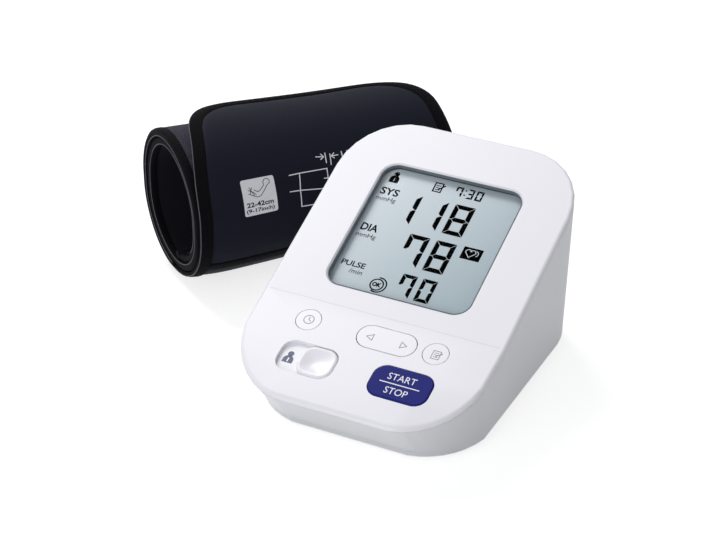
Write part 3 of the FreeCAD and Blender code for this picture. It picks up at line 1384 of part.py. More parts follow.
def tapered_band(name, turns, outer, inner, start, end):
    """A band round the roll between two places along it.

    turns holds (centre y, centre z, radius, first angle, last angle) each.
    outer and inner are the depths of the band's faces under that radius.
    """
    sections = []
    for along in (start, end):
        scale = taper_at(along).number
        outline = band_points(turns, outer, scale) + band_points(turns, inner, scale)[::-1]
        sections.append([Vector(Size.of(along).number, y, z) for y, z in outline])
    return flat_sided(name, sections)


def roll_turns(first=0, last=8):
    """The quarter turns of the rolled strip, from its outer end inwards."""
    radius = S.roll_radius
    pitch = S.roll_pitch
    base = S.roll_radius
    top = S.roll_top
    quarters = [(0, base, radius, -90, 0),
                (pitch / 2, top, radius - pitch / 2, 0, 90),
                (pitch / 2, top, radius - pitch / 2, 90, 180),
                (0, base, radius - pitch, 180, 270),
                (0, base, radius - pitch, 270, 360),
                (pitch / 2, top, radius - 1.5 * pitch, 0, 90),
                (pitch / 2, top, radius - 1.5 * pitch, 90, 180),
                (0, base, radius - 2 * pitch, 180, 270)]
    chosen = quarters[first:last]
    merged = []
    for turn in chosen:
        if merged and merged[-1][4] == turn[3] and turn[3] in (90, 270):
            merged[-1] = merged[-1][:4] + (turn[4],)
        else:
            merged.append(turn)
    return merged


def cuff_strip():
    length = S.cuff_length
    fabric = S.fabric_thick
    edge = S.piping_wide
    whole = roll_turns()
    inner = roll_turns(1, 7)
    strip = S.strip_thick
    left = tapered_band("left_binding", whole, 0, strip, 0, edge)
    right = tapered_band("right_binding", whole, 0, strip, length - edge, length)
    node("cuff_edge_binding", on_cuff(group("bindings", [left, right])))
    node("cuff_outer_cloth", on_cuff(tapered_band("outer_cloth", whole, 0, fabric, edge, length - edge)))
    node("cuff_lining", on_cuff(tapered_band("lining", whole, strip - fabric, strip, edge, length - edge)))
    curler_in = strip - fabric - S.ply_gap
    curler_out = curler_in - S.curler_thick
    start = S.curler_inset
    node("cuff_curler", on_cuff(tapered_band("curler", inner, curler_out, curler_in, start, length - start)))
    start = S.bladder_inset
    node("cuff_bladder", on_cuff(tapered_band("bladder", inner, fabric + S.ply_gap, curler_out - S.ply_gap,
                                              start, length - start)))


def panel_top():
    """Centre and outer radius of the panel's upper arc."""
    return S.roll_pitch / 2, S.roll_top, S.roll_radius - S.roll_pitch / 2 + S.panel_gap + S.panel_thick


def flap_arc(thinner):
    """The free end's arc, tangent to the panel where the two meet."""
    y, z, radius = panel_top()
    angle = 180 - S.flap_angle
    return (y - S.flap_lift * cosine(angle), z - S.flap_lift * sine(angle),
            radius + S.flap_lift - thinner)


HOOK_CHORDS = (1, 3)      # the hook pad reaches from one of the free end's chords to another


def cuff_panel():
    y, z, radius = panel_top()
    thick = S.panel_thick
    turns = [(y, z, radius, 180 - S.flap_angle, 180), (0, S.roll_radius, S.panel_radius + thick, 180, 270)]
    panel = tapered_band("panel", turns, 0, thick, S.panel_start, S.cuff_length)
    node("cuff_panel", on_cuff(panel))

    y, z, radius = flap_arc(0)
    arc = [(y, z, radius, 180 - S.flap_end, 180 - S.flap_angle)]
    flap = tapered_band("flap", arc, 0, thick, S.panel_start, S.cuff_length)
    plan = new_body("flap_plan")
    sketch = new_sketch(plan)
    front = -2 * S.roll_radius
    left = S.panel_start
    right = S.cuff_length
    draw_outline(sketch, [(left - S.flap_left_slant, front), (right + S.flap_right_slant, front),
                          (right - S.flap_right_slant, S.flap_reach),
                          (left + S.flap_left_slant, S.flap_reach)], [0, 0, S.flap_corner, S.flap_corner])
    add_pad(plan, sketch, 4 * S.roll_radius)
    node("cuff_flap", on_cuff(common("trimmed_flap", flap, plan)))

    y, z, radius = flap_arc(S.panel_thick)
    spread = (S.flap_end - S.flap_angle).number
    step = spread / chord_count(spread)
    first, last = [180 - S.flap_end.number + chord * step for chord in HOOK_CHORDS]
    arc = [(y, z, radius, first, last)]
    hook = tapered_band("hook", arc, 0, S.hook_thick, S.hook_inset + 10, S.cuff_length - S.hook_inset)
    node("cuff_hook_pad", on_cuff(hook))


def cuff_spigot():
    """The hose connection on the back of the roll."""
    scale = taper_at(S.spigot_along)
    height = (S.roll_radius + S.roll_top) / 2 * scale
    skin = S.roll_radius * scale
    base = many_sided("spigot_base", S.spigot_base_radius, S.spigot_base_thick, 0, 0, 0, "+Y", CELL_SIDES)
    stub = many_sided("spigot_stub", S.spigot_radius + S.spigot_wall, S.spigot_length, 0, 0, 0, "+Y")
    bore = many_sided("spigot_bore", S.spigot_radius, S.spigot_length, 0, S.spigot_base_thick, 0, "+Y")
    shape = cut("spigot", fuse("spigot_solid", base, stub), bore)
    lean = -math.degrees(math.atan((1 - S.cuff_taper.number) * S.roll_radius.number / S.cuff_length.number))
    place(shape, S.spigot_along, skin, height, Z_AXIS, lean)
    node("cuff_hose_port", on_cuff(group("spigot_set", [shape])))


# --- build --------------------------------------------------------------------

def check(feature):
    shape = feature.Shape
    if shape.isNull() or not shape.isValid() or not shape.Solids:
        raise RuntimeError(f"{feature.Label} has no valid solid")


front_cover()
display()
for name, side in ROUND_KEYS.items():
    round_key(name, side)
start_key()
arrow_rocker()
user_switch()
circuit_board()
lower_case()
battery_cover()
battery_set()
feet_and_screws()
pump()
air_line()
adapter_jack()
cuff_strip()
cuff_panel()
cuff_spigot()
DOC.recompute()

for item in DOC.Objects:
    if "Invalid" in item.State or "Error" in item.State:
        raise RuntimeError(f"{item.Label} did not build")
    if item.TypeId == "Sketcher::SketchObject" and not item.FullyConstrained:
        raise RuntimeError(f"{item.Label} is not fully constrained")

os.makedirs("parts", exist_ok=True)
for feature in NODES:
    check(feature)
    feature.Shape.exportStep(f"parts/{feature.Label}.step")
print(f"{len(NODES)} sub-parts written")
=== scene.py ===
"""Looks of an upper-arm blood pressure monitor and its rolled cuff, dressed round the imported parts."""
import json
import math

import bmesh
import bpy
from mathutils import Matrix, Vector, geometry, noise


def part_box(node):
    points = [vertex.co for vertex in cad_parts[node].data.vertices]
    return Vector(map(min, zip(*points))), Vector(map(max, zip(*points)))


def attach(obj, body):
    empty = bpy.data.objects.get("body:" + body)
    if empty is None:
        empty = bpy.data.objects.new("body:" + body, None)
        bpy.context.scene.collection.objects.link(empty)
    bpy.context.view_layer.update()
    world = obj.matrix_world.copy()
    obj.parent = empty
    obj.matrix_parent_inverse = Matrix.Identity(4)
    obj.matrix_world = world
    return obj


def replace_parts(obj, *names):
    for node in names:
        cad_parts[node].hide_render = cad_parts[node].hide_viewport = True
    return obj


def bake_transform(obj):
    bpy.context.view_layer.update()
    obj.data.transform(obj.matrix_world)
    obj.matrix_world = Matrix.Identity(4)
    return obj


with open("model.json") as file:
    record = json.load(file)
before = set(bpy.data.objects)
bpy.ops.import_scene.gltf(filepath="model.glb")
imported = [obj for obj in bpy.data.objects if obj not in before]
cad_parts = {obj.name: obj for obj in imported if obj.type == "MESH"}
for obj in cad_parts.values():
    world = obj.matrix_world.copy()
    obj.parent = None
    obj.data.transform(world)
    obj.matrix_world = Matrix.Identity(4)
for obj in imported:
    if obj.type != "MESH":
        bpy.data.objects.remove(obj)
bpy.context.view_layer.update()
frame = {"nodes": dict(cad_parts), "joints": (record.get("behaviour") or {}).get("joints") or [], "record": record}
NODES = frame["nodes"]
JOINTS = {joint["name"]: joint for joint in frame["joints"]}

MM = 0.001

# The case's own middle, on the table.
cover_low, cover_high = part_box("front_cover")
CASE_MIDDLE = Vector(((cover_low.x + cover_high.x) / 2, (cover_low.y + cover_high.y) / 2, 0))

# Sloping faces of the case, in millimetres and degrees.
CREASE_FORWARD = 22.7
CREASE_HEIGHT = 41.65
CREASE_HALF = 51.2
KEY_SLOPE = 18.667
SCREEN_SLOPE = 22.308

# The case's outline at its rim and at its foot. The wall is pushed out towards the foot, and the front
# corners are rounder by CORNER_ROUNDER.
RIM_HALF_WIDTH = 53.5
RIM_HALF_DEPTH = 70.5
RIM_CORNER = 28.5
FOOT_HALF_WIDTH = 48.0
FOOT_FRONT = 53.1
FOOT_BACK = 68.0
FOOT_CORNER = 22.0
FOOT_HEIGHT = 0.8
FOOT_WIDER = 2.8
WALL_DEPTH = 4.0
WALL_FADE = 3.5
JACKS_FRONT = (min(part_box(node)[0].y for node in ("air_jack", "adapter_jack")) - CASE_MIDDLE.y) / MM - 3.0
JACKS_FADE = 14.0
CORNER_ROUNDER = 7.0
CORNER_DEPTH = 5.0
CORNER_FADE = 6.5

# The display opening and the user switch, on their faces.
SCREEN_MIDDLE = 43.35
SCREEN_HALF_WIDTH = 32.0
SCREEN_HALF_HEIGHT = 33.35
SCREEN_CORNER = 7.0
WINDOW_TOP = -2.2
# The dark lining on the opening's walls is painted shade: its gap from the walls, its thickness and its top.
LINING_GAP = 0.03
LINING_THICK = 0.22
LINING_TOP = -0.4
SWITCH_X = -19.7
SWITCH_Y = -29.6
SWITCH_HALF_WIDTH = 12.5
SWITCH_HALF_HEIGHT = 7.8
SWITCH_CORNER = 5.6
USER_REACH = 8.2
KNOB_X = -15.3
KNOB_HALF_WIDTH = 7.7
KNOB_HALF_HEIGHT = 7.4
KNOB_CORNER = 5.2
DISH_SHARE = 0.87
DISH_DEPTH = 1.2
DISH_LIP = 0.1
DISH_POWER = 1.4

# Depths of what is printed, out of the face that carries it.
INK_UNDER = -0.02
INK_OVER = 0.03
DISPLAY_DEPTH = -3.62
START_KEY_PROUD = 0.3
RECESS_DEPTH = -1.7
PLATE_THICK = 0.85
PLATE_GAP = 0.06

# The roll of the cuff: where its left end lies on the table, its turn in degrees, and its size. It gets
# thinner by CUFF_TAPER towards its far end; each turn lies ROLL_PITCH inside the one before.
CUFF_LEFT = Vector((-128.4, 25.3, 0))
CUFF_TURN = 53.25
CUFF_LENGTH = 131.5
CUFF_TAPER = 0.13
ROLL_RADIUS = 33.5
ROLL_TOP = 39.0
ROLL_PITCH = 3.9

# The padded strip, whose outer end is thinner over EDGE_FOOT. Its cloths reach TUCK under the braids, and
# FOLD_MARK is the pitch of the marks across a folded braid.
STRIP_THICK = 3.6
CLOTH_THICK = 0.9
BINDING_WIDE = 4.0
EDGE_FOOT = 14.0
EDGE_SINK = 0.9
EDGE_SQUEEZE = 0.25
INNER_SHIFT = 1.6
TUCK = 0.5
FOLD_MARK = 0.8

# The printed panel over it. Its free end, the flap, begins FLAP_ANGLE degrees above the middle of the
# roll's near side and ends at FLAP_END. BEND millimetres to each side of its hinge are worked out, but nothing
# bends there.
PANEL_LEFT = 1.6
PANEL_FOOT_LEFT = 0.3
PANEL_THICK = 2.6
PANEL_RADIUS = 32.5
FLAP_ANGLE = 35.0
FLAP_END = 106.4
FLAP_LIFT = 6.2
FLAP_LEFT_SLANT = 14.0
FLAP_RIGHT_SLANT = 3.0
FLAP_CORNER = 31.0
BEND = 7.0
BORDER_WIDE = 5.4
SEAM_INSET = 4.0
SEAM_LOW = 29.4
SEAM_HIGH = 35.7

# Hooks, stitches with the dimples they pull, light cords painted as the highlight on the mouth's folds, and the
# panel's piping.
HOOKS_FOOT = 12.0
HOOKS_LEFT = 36.0
HOOKS_RIGHT = 26.0
HOOKS_SUNK = 0.2
HOOKS_THICK = 0.5
HOOK_PITCH = 1.7
STITCH_PITCH = 3.0
STITCH_INSET = 1.4
STITCH_PROUD = 0.04
EDGE_STITCH_INSET = 1.0
EDGE_STITCH_PROUD = 0.08
PUCKER_DEPTH = 0.05
PUCKER_SHARES = (0.4, 1.0, 1.0, 0.5)
CORD_RADIUS = 0.26
FOLD_HIGHLIGHT_DEPTH = 3.25
FOLD_HIGHLIGHT_INSET = 0.35
FOLD_HIGHLIGHT_STOP = 24.0
PANEL_PIPING_INSET = 0.2
PANEL_PIPING_DEPTH = 0.55

# Softness: the flattened foot of the roll, its sway, the waves of its cloth, the panel's crown and ripple,
# and the lifted mouth.
SOFT_FOOT = 0.6
FOOT_GIVE = 0.55
SWAY = 0.9
SWAY_WAVES = 1.4
SWAY_RUN = 55
UNEVEN = 0.07
CROWN = 0.45
CROWN_REACH = 7
RIPPLE = 0.16
MOUTH_LIFT = 3.0
MOUTH_REACH = 13.0


# --- meshes -------------------------------------------------------------------

# Points of a CAD part nearer than MERGE_REACH millimetres become one. Faces that bend less than FLAT_ANGLE
# degrees become one, and edges that bend more than EDGE_ANGLE are rounded.
MERGE_REACH = 0.0005
FLAT_ANGLE = 0.4
EDGE_ANGLE = 38


def finished_mesh(built, sharp_angle=35, turn_out=True):
    """A smooth-shaded mesh with its faces outwards and its sharp edges kept."""
    if turn_out:
        bmesh.ops.recalc_face_normals(built, faces=built.faces)
    mesh = bpy.data.meshes.new("skin")
    built.to_mesh(mesh)
    built.free()
    mesh.shade_smooth()
    mesh.set_sharp_from_angle(angle=math.radians(sharp_angle))
    return mesh


def in_scene(name, data):
    """A new object in the scene."""
    thing = bpy.data.objects.new(name, data)
    bpy.context.scene.collection.objects.link(thing)
    return thing


def add_piece(name, mesh, finish, body=None):
    """A piece whose place is in its mesh, riding on a body; a slot takes the name of the finish."""
    mesh.name = name
    mesh.materials.clear()
    mesh.materials.append(FINISHES[finish])
    piece = in_scene(name, mesh)
    if body:
        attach(piece, body)
    return piece


def taken_mesh(holder):
    """The mesh of an object with its modifiers applied; the object goes."""
    depsgraph = bpy.context.evaluated_depsgraph_get()
    mesh = bpy.data.meshes.new_from_object(holder.evaluated_get(depsgraph), preserve_all_data_layers=True,
                                           depsgraph=depsgraph)
    bpy.data.objects.remove(holder)
    return mesh


def softened_copy(node, finish, body, edge_round, reshape):
    """A CAD part merged into one skin, its edges rounded enough to catch the light."""
    built = bmesh.new()
    built.from_mesh(NODES[node].data)
    if reshape:
        for vertex in built.verts:
            vertex.co = reshape(vertex.co)
    bmesh.ops.remove_doubles(built, verts=built.verts, dist=MERGE_REACH * MM)
    flat = math.radians(FLAT_ANGLE)
    bmesh.ops.dissolve_limit(built, angle_limit=flat, verts=built.verts, edges=built.edges)
    mesh = finished_mesh(built, turn_out=False)
    mesh.materials.clear()
    holder = in_scene("holder", mesh)
    rounding = holder.modifiers.new("edge_round", "BEVEL")
    rounding.width = edge_round * MM
    rounding.segments = 2
    rounding.limit_method = "ANGLE"
    rounding.angle_limit = math.radians(EDGE_ANGLE)
    rounding.harden_normals = True
    holder.modifiers.new("flat_faces", "WEIGHTED_NORMAL").keep_sharp = True
    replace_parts(add_piece(node + "_shell", taken_mesh(holder), finish, body), node)


def skin(rings, marks=None, is_stack_closed=False, sharp_angle=50):
    """A closed skin through rings of points, capped at both ends unless the stack closes on itself.

    marks holds each point's place on the flat cloth, in metres, for the weave.
    """
    built = bmesh.new()
    rows = [[built.verts.new(point) for point in ring] for ring in rings]
    cloth = built.loops.layers.uv.new("cloth")
    across = len(rows[0])
    last = len(rows) if is_stack_closed else len(rows) - 1
    for i in range(last):
        k = (i + 1) % len(rows)
        for j in range(across):
            m = (j + 1) % across
            face = built.faces.new((rows[i][j], rows[i][m], rows[k][m], rows[k][j]))
            if marks:
                for loop, place in zip(face.loops, ((i, j), (i, m), (k, m), (k, j))):
                    loop[cloth].uv = marks[place[0]][place[1]]
    if not is_stack_closed:
        built.faces.new(rows[0])
        built.faces.new(rows[-1][::-1])
    return finished_mesh(built, sharp_angle)


# --- prints -------------------------------------------------------------------

# A line's corner is mitred no further than where its bend leaves this share of its width.
SHARPEST_MITRE = 0.4
# Points of a print nearer than this, in millimetres, become one.
INK_MERGE = 0.001


def lettering_mesh(text, weight):
    """Letters one unit thick, as a closed mesh."""
    curve = bpy.data.curves.new("lettering", "FONT")
    curve.body = text
    curve.offset = weight
    curve.extrude = 0.5
    curve.resolution_u = 3
    return taken_mesh(in_scene("lettering", curve))


def side_rails(points, width, is_closed):
    """The two edges of a line of some width, with mitred corners."""
    rails = ([], [])
    count = len(points)
    for i, point in enumerate(points):
        before = points[i - 1] if is_closed or i else None
        after = points[(i + 1) % count] if is_closed or i < count - 1 else None
        ends = ((before, point), (point, after))
        runs = [(Vector(b) - Vector(a)).normalized() for a, b in ends if a and b]
        along = sum(runs, Vector((0, 0))).normalized()
        normal = Vector((-along.y, along.x))
        slant = abs(normal.dot(Vector((-runs[0].y, runs[0].x))))
        reach = width / 2 / max(slant, SHARPEST_MITRE)
        for rail, side in zip(rails, (1, -1)):
            rail.append(Vector(point) + normal * reach * side)
    return rails


def arc(x, y, radius, first=0, last=360, count=24):
    """Points along an arc; a full circle leaves out its last point."""
    steps = count if last - first == 360 else count - 1
    turns = [math.radians(first + (last - first) * i / steps) for i in range(count)]
    return [(x + radius * math.cos(turn), y + radius * math.sin(turn)) for turn in turns]


def rounded_box(x, y, half, high, corner, count=10):
    """Outline of a rectangle with round corners, anticlockwise from its right side."""
    points = []
    for across, up, first in ((1, 1, 0), (-1, 1, 90), (-1, -1, 180), (1, -1, 270)):
        centre = (x + across * (half - corner), y + up * (high - corner))
        points += arc(*centre, corner, first, first + 90, count)
    return points


class Print:
    """Thin closed shapes on one face, gathered into one piece.

    place turns a point of the print (across, up, out, in millimetres) into a point of the frame.
    """

    def __init__(self, place, under=INK_UNDER, over=INK_OVER):
        self.built = bmesh.new()
        self.place = place
        self.under = under
        self.over = over

    def corners(self, points, out):
        return [self.built.verts.new(self.place(x, y, out)) for x, y in points]

    def plate(self, outline):
        low = self.corners(outline, self.under)
        high = self.corners(outline, self.over)
        self.built.faces.new(high)
        self.built.faces.new(low[::-1])
        for i in range(len(outline)):
            k = (i + 1) % len(outline)
            self.built.faces.new((low[i], low[k], high[k], high[i]))

    def line(self, points, width, is_closed=False):
        corners = []
        for rail, turn in zip(side_rails(points, width, is_closed), (1, -1)):
            corners += [self.corners(rail, self.under), self.corners(rail, self.over)][::turn]
        rings = list(zip(*corners))
        if is_closed:
            rings.append(rings[0])
        self.tube(rings, is_capped=not is_closed)

    def tube(self, rings, is_capped=True):
        """Walls from each ring of corners to the next, with an end on the first and the last."""
        for ring, following in zip(rings, rings[1:]):
            for j in range(len(ring)):
                k = (j + 1) % len(ring)
                self.built.faces.new((ring[j], ring[k], following[k], following[j]))
        if is_capped:
            self.built.faces.new(rings[0])
            self.built.faces.new(rings[-1][::-1])

    def words(self, text, left, right, low, high, weight=0.0):
        mesh = lettering_mesh(text, weight)
        xs = [vertex.co.x for vertex in mesh.vertices]
        ys = [vertex.co.y for vertex in mesh.vertices]
        across = (right - left) / (max(xs) - min(xs))
        up = (high - low) / (max(ys) - min(ys))
        for vertex, x, y in zip(mesh.vertices, xs, ys):
            out = self.over if vertex.co.z > 0 else self.under
            vertex.co = self.place(left + (x - min(xs)) * across, low + (y - min(ys)) * up, out)
        self.built.from_mesh(mesh)
        bpy.data.meshes.remove(mesh)

    def finish(self, name, finish, body=None):
        bmesh.ops.remove_doubles(self.built, verts=self.built.verts, dist=INK_MERGE * MM)
        return add_piece(name, finished_mesh(self.built), finish, body)


# --- finishes -----------------------------------------------------------------

WHITE = (1, 1, 1, 1)
BLACK = (0, 0, 0, 1)


def paint(code):
    """Linear colour of a screen colour code."""
    parts = [int(code[i:i + 2], 16) / 255 for i in (1, 3, 5)]
    return tuple(p / 12.92 if p <= 0.04045 else ((p + 0.055) / 1.055) ** 2.4 for p in parts) + (1.0,)


def add_node(tree, kind, inputs, settings):
    """A node with its settings made and its inputs set or joined."""
    node = tree.nodes.new(kind)
    for name, value in settings.items():
        setattr(node, name, value)
    for name, value in (inputs or {}).items():
        if isinstance(value, bpy.types.NodeSocket):
            tree.links.new(value, node.inputs[name])
        else:
            node.inputs[name].default_value = value
    return node


class Tree:
    """A shader's node tree with short ways to add and join nodes."""

    def __init__(self, tree):
        self.tree = tree

    def add(self, kind, inputs=None, **settings):
        return add_node(self.tree, "ShaderNode" + kind, inputs, settings)

    def math(self, operation, *values):
        return self.add("Math", dict(enumerate(values)), operation=operation).outputs[0]

    def mix(self, blend, factor, first, second):
        inputs = {"Factor": factor, 6: first, 7: second}
        return self.add("Mix", inputs, data_type="RGBA", blend_type=blend).outputs[2]


def effect(name, inputs):
    """An empty surface effect with its way in and its way out."""
    group = bpy.data.node_groups.new(name, "ShaderNodeTree")
    for label, value in inputs:
        kind = "NodeSocketColor" if isinstance(value, tuple) else "NodeSocketFloat"
        group.interface.new_socket(label, in_out="INPUT", socket_type=kind).default_value = value
    for label in ("Colour", "Roughness", "Height"):
        kind = "NodeSocketColor" if label == "Colour" else "NodeSocketFloat"
        group.interface.new_socket(label, in_out="OUTPUT", socket_type=kind)
    return Tree(group), group.nodes.new("NodeGroupInput").outputs, group.nodes.new("NodeGroupOutput").inputs


def put_out(tree, leave, *results):
    """The finished effect: it puts out a colour, a roughness and a height."""
    for label, result in zip(("Colour", "Roughness", "Height"), results):
        tree.tree.links.new(result, leave[label])
    return tree.tree


def moulded_grain():
    """Fine grain and faint mottling of moulded plastic, rubber and plated sheet."""
    tree, entry, leave = effect("moulded_grain", [
        ("Colour", WHITE), ("Roughness", 0.4), ("Grain", 2000.0), ("Mottle", 0.05), ("Spread", 0.08)])
    place = tree.add("TexCoord").outputs["Object"]
    fine = tree.add("TexNoise", {"Vector": place, "Scale": entry["Grain"], "Detail": 3.0}).outputs["Fac"]
    broad = tree.add("TexNoise", {"Vector": place, "Scale": 38.0, "Detail": 4.0}).outputs["Fac"]
    shade = tree.mix("MULTIPLY", entry["Mottle"], entry["Colour"], broad)
    swing = tree.math("ADD", tree.math("MULTIPLY", broad, 0.6), tree.math("MULTIPLY", fine, 0.4))
    swing = tree.math("SUBTRACT", swing, 0.5)
    rough = tree.math("MULTIPLY_ADD", swing, entry["Spread"], entry["Roughness"])
    return put_out(tree, leave, shade, rough, fine)


def thread_pattern(name, u_factor, v_factor, uneven):
    """Threads that follow the cloth: bumps where both factors are set, ribs where one is nought."""
    tree, entry, leave = effect(name, [
        ("Colour", WHITE), ("Hollow", BLACK), ("Roughness", 0.8), ("Threads", 1000.0)])
    mark = tree.add("UVMap", uv_map="cloth").outputs["UV"]
    parts = tree.add("SeparateXYZ", {"Vector": mark}).outputs
    wander = tree.add("TexNoise", {"Vector": mark, "Scale": 160.0, "Detail": 2.0}).outputs["Fac"]
    shift = tree.math("MULTIPLY", wander, uneven)
    waves = []
    for part, factor in ((parts["X"], u_factor), (parts["Y"], v_factor)):
        if factor:
            turns = tree.math("MULTIPLY", tree.math("MULTIPLY", part, entry["Threads"]), factor * math.pi)
            waves.append(tree.math("SINE", tree.math("ADD", turns, shift)))
    if len(waves) == 2:
        height = tree.math("MULTIPLY_ADD", tree.math("MULTIPLY", *waves), 0.5, 0.5)
    else:
        height = tree.math("ABSOLUTE", waves[0])
    broad = tree.add("TexNoise", {"Vector": mark, "Scale": 34.0, "Detail": 3.0}).outputs["Fac"]
    level = tree.math("MULTIPLY_ADD", height, 0.7, tree.math("MULTIPLY", broad, 0.3))
    colour = tree.mix("MIX", level, entry["Hollow"], entry["Colour"])
    rough = tree.math("MULTIPLY_ADD", tree.math("SUBTRACT", broad, 0.5), 0.12, entry["Roughness"])
    return put_out(tree, leave, colour, rough, height)


def brushed_pile():
    """Short brushed loops: a fuzzy speckle of lighter fibres over darker ground."""
    tree, entry, leave = effect("brushed_pile", [
        ("Colour", WHITE), ("Hollow", BLACK), ("Roughness", 0.9), ("Fibres", 1800.0)])
    place = tree.add("TexCoord").outputs["Object"]
    bent = tree.add("TexNoise", {"Vector": place, "Scale": 300.0, "Detail": 2.0}).outputs["Color"]
    shift = tree.add("VectorMath", {0: bent, "Scale": 0.0012}, operation="SCALE").outputs[0]
    moved = tree.add("VectorMath", {0: place, 1: shift}).outputs[0]
    fibres = tree.add("TexNoise", {"Vector": moved, "Scale": entry["Fibres"], "Detail": 4.0,
                                   "Roughness": 0.7}).outputs["Fac"]
    tufts = tree.add("TexNoise", {"Vector": place, "Scale": 420.0, "Detail": 2.0}).outputs["Fac"]
    sharp = tree.add("MapRange", {"Value": fibres, "From Min": 0.36, "From Max": 0.66}).outputs[0]
    level = tree.math("MULTIPLY_ADD", sharp, 0.65, tree.math("MULTIPLY", tufts, 0.35))
    colour = tree.mix("MIX", level, entry["Hollow"], entry["Colour"])
    rough = tree.math("MULTIPLY_ADD", sharp, 0.08, entry["Roughness"])
    return put_out(tree, leave, colour, rough, level)


GRAIN = moulded_grain()
WEAVE = thread_pattern("plain_weave", 1.0, 1.0, 0.8)
RIBS = thread_pattern("ribbed_braid", 1.0, 0.0, 0.5)
PILE = brushed_pile()


def finish_of(name, group, inputs, bump, surface):
    """A material whose colour, roughness and fine relief come from a surface effect."""
    material = bpy.data.materials.new(name)
    material.use_nodes = True
    tree = Tree(material.node_tree)
    shader = material.node_tree.nodes["Principled BSDF"]
    source = tree.add("Group", node_tree=group)
    for label, value in inputs.items():
        source.inputs[label].default_value = value
    relief = tree.add("Bump", {"Height": source.outputs["Height"], "Distance": bump * MM, "Strength": 1.0})
    tree.tree.links.new(source.outputs["Colour"], shader.inputs["Base Color"])
    tree.tree.links.new(source.outputs["Roughness"], shader.inputs["Roughness"])
    tree.tree.links.new(relief.outputs[0], shader.inputs["Normal"])
    for label, value in surface.items():
        shader.inputs[label].default_value = value
    return material


def moulded(name, colour, roughness, grain=2200.0, bump=0.01, mottle=0.04, surface=None):
    """A moulded or plated finish."""
    inputs = {"Colour": paint(colour), "Roughness": roughness, "Grain": grain, "Mottle": mottle}
    return finish_of(name, GRAIN, inputs, bump, surface or {})


def cloth(name, group, colour, hollow, threads, bump, roughness=0.82, sheen=0.25, gloss=0.12):
    """A fabric whose threads are laid out on the piece's own flat cloth."""
    count = "Fibres" if group is PILE else "Threads"
    inputs = {"Colour": paint(colour), "Hollow": paint(hollow), "Roughness": roughness, count: threads}
    surface = {"Sheen Weight": sheen, "Sheen Roughness": 0.5, "Sheen Tint": paint("#8C8C9C"),
               "Specular IOR Level": gloss}
    return finish_of(name, group, inputs, bump, surface)


# Colour, roughness, grain, relief in millimetres, mottling, and what else the surface has.
MOULDED = {
    "cover_white": ("#F1F0F6", 0.34, 2600, 0.006, 0.02),
    # Painted shade on the walls of the display opening.
    "window_wall_shade": ("#66727A", 0.5, 2600, 0.006, 0.04),
    # A darker copy of the cover white: painted shade for the line along the crease.
    "cover_shade": ("#DCDCE3", 0.5, 2600, 0.006, 0.02),
    "case_white": ("#ECEDF1", 0.46, 1800, 0.018, 0.03),
    "key_white": ("#F2F1F7", 0.3, 2600, 0.005, 0.02),
    "key_navy": ("#1E2378", 0.5, 3200, 0.008, 0.08, {"Specular IOR Level": 0.1}),
    "dark_plastic": ("#1C1C1F", 0.5, 2200, 0.02),
    "rubber_dark": ("#19191B", 0.75, 1400, 0.03),
    "rubber_grey": ("#8D8E91", 0.7, 1400, 0.03),
    "board_green": ("#155B34", 0.35, 900, 0.01, 0.15),
    "steel": ("#A8A9AD", 0.32, 3000, 0.006, 0.04, {"Metallic": 1.0}),
    "contact_metal": ("#C4C5C8", 0.22, 3000, 0.004, 0.04, {"Metallic": 1.0}),
    "cell_wrap": ("#2B3340", 0.28, 2400, 0.004, 0.04, {"Metallic": 0.6}),
    "inner_plastic": ("#CFCFCC", 0.45, 2200, 0.02),
    "hook_black": ("#101013", 0.55, 1500, 0.05),
    "bladder_film": ("#4A4A52", 0.4, 700, 0.03),
    "curler_sheet": ("#C2C4C8", 0.3, 2200, 0.01),
    "display_segments": ("#030304", 0.7, 2200, 0.0, 0.04, {"Specular IOR Level": 0.0}),
    "display_light": ("#C3D0D6", 0.35, 2200, 0.0),
    "key_grey_ink": ("#8C8C94", 0.5, 2200, 0.0),
    "key_light_ink": ("#F4F4F6", 0.45, 2200, 0.0),
    "key_slate_ink": ("#555C78", 0.5, 2200, 0.0),
    "cuff_light_ink": ("#E8E9EE", 0.6, 2200, 0.02),
    "cuff_label_ink": ("#E4E5EA", 0.55, 2200, 0.02),
    "cuff_dark_ink": ("#121318", 0.6, 2200, 0.02),
    # Light grey cords: painted highlight on the mouth's folds, and the piping round the panel.
    "cuff_piping_and_fold_highlight": ("#4B4A54", 0.7, 3000, 0.03),
    "stitching_thread": ("#0B0B0D", 0.8, 3000, 0.05, 0.04, {"Specular IOR Level": 0.1}),
}
# Pattern, colour, colour of the hollows, threads, relief in millimetres, roughness, sheen and gloss.
CLOTHS = {
    "cuff_cloth": (WEAVE, "#1B1B22", "#0C0C11", 1500, 0.06, 0.82, 0.12),
    "cuff_loop": (PILE, "#4F4D58", "#22212A", 1500, 0.25, 0.9, 0.3),
    "cuff_braid": (RIBS, "#0F0F12", "#040405", 900, 0.12, 0.75, 0.02, 0.05),
    "cuff_print": (WEAVE, "#1E202C", "#161822", 2200, 0.02, 0.6, 0.02, 0.06),
}
FINISHES = {name: moulded(name, *row) for name, row in MOULDED.items()}
FINISHES.update({name: cloth(name, *row) for name, row in CLOTHS.items()})


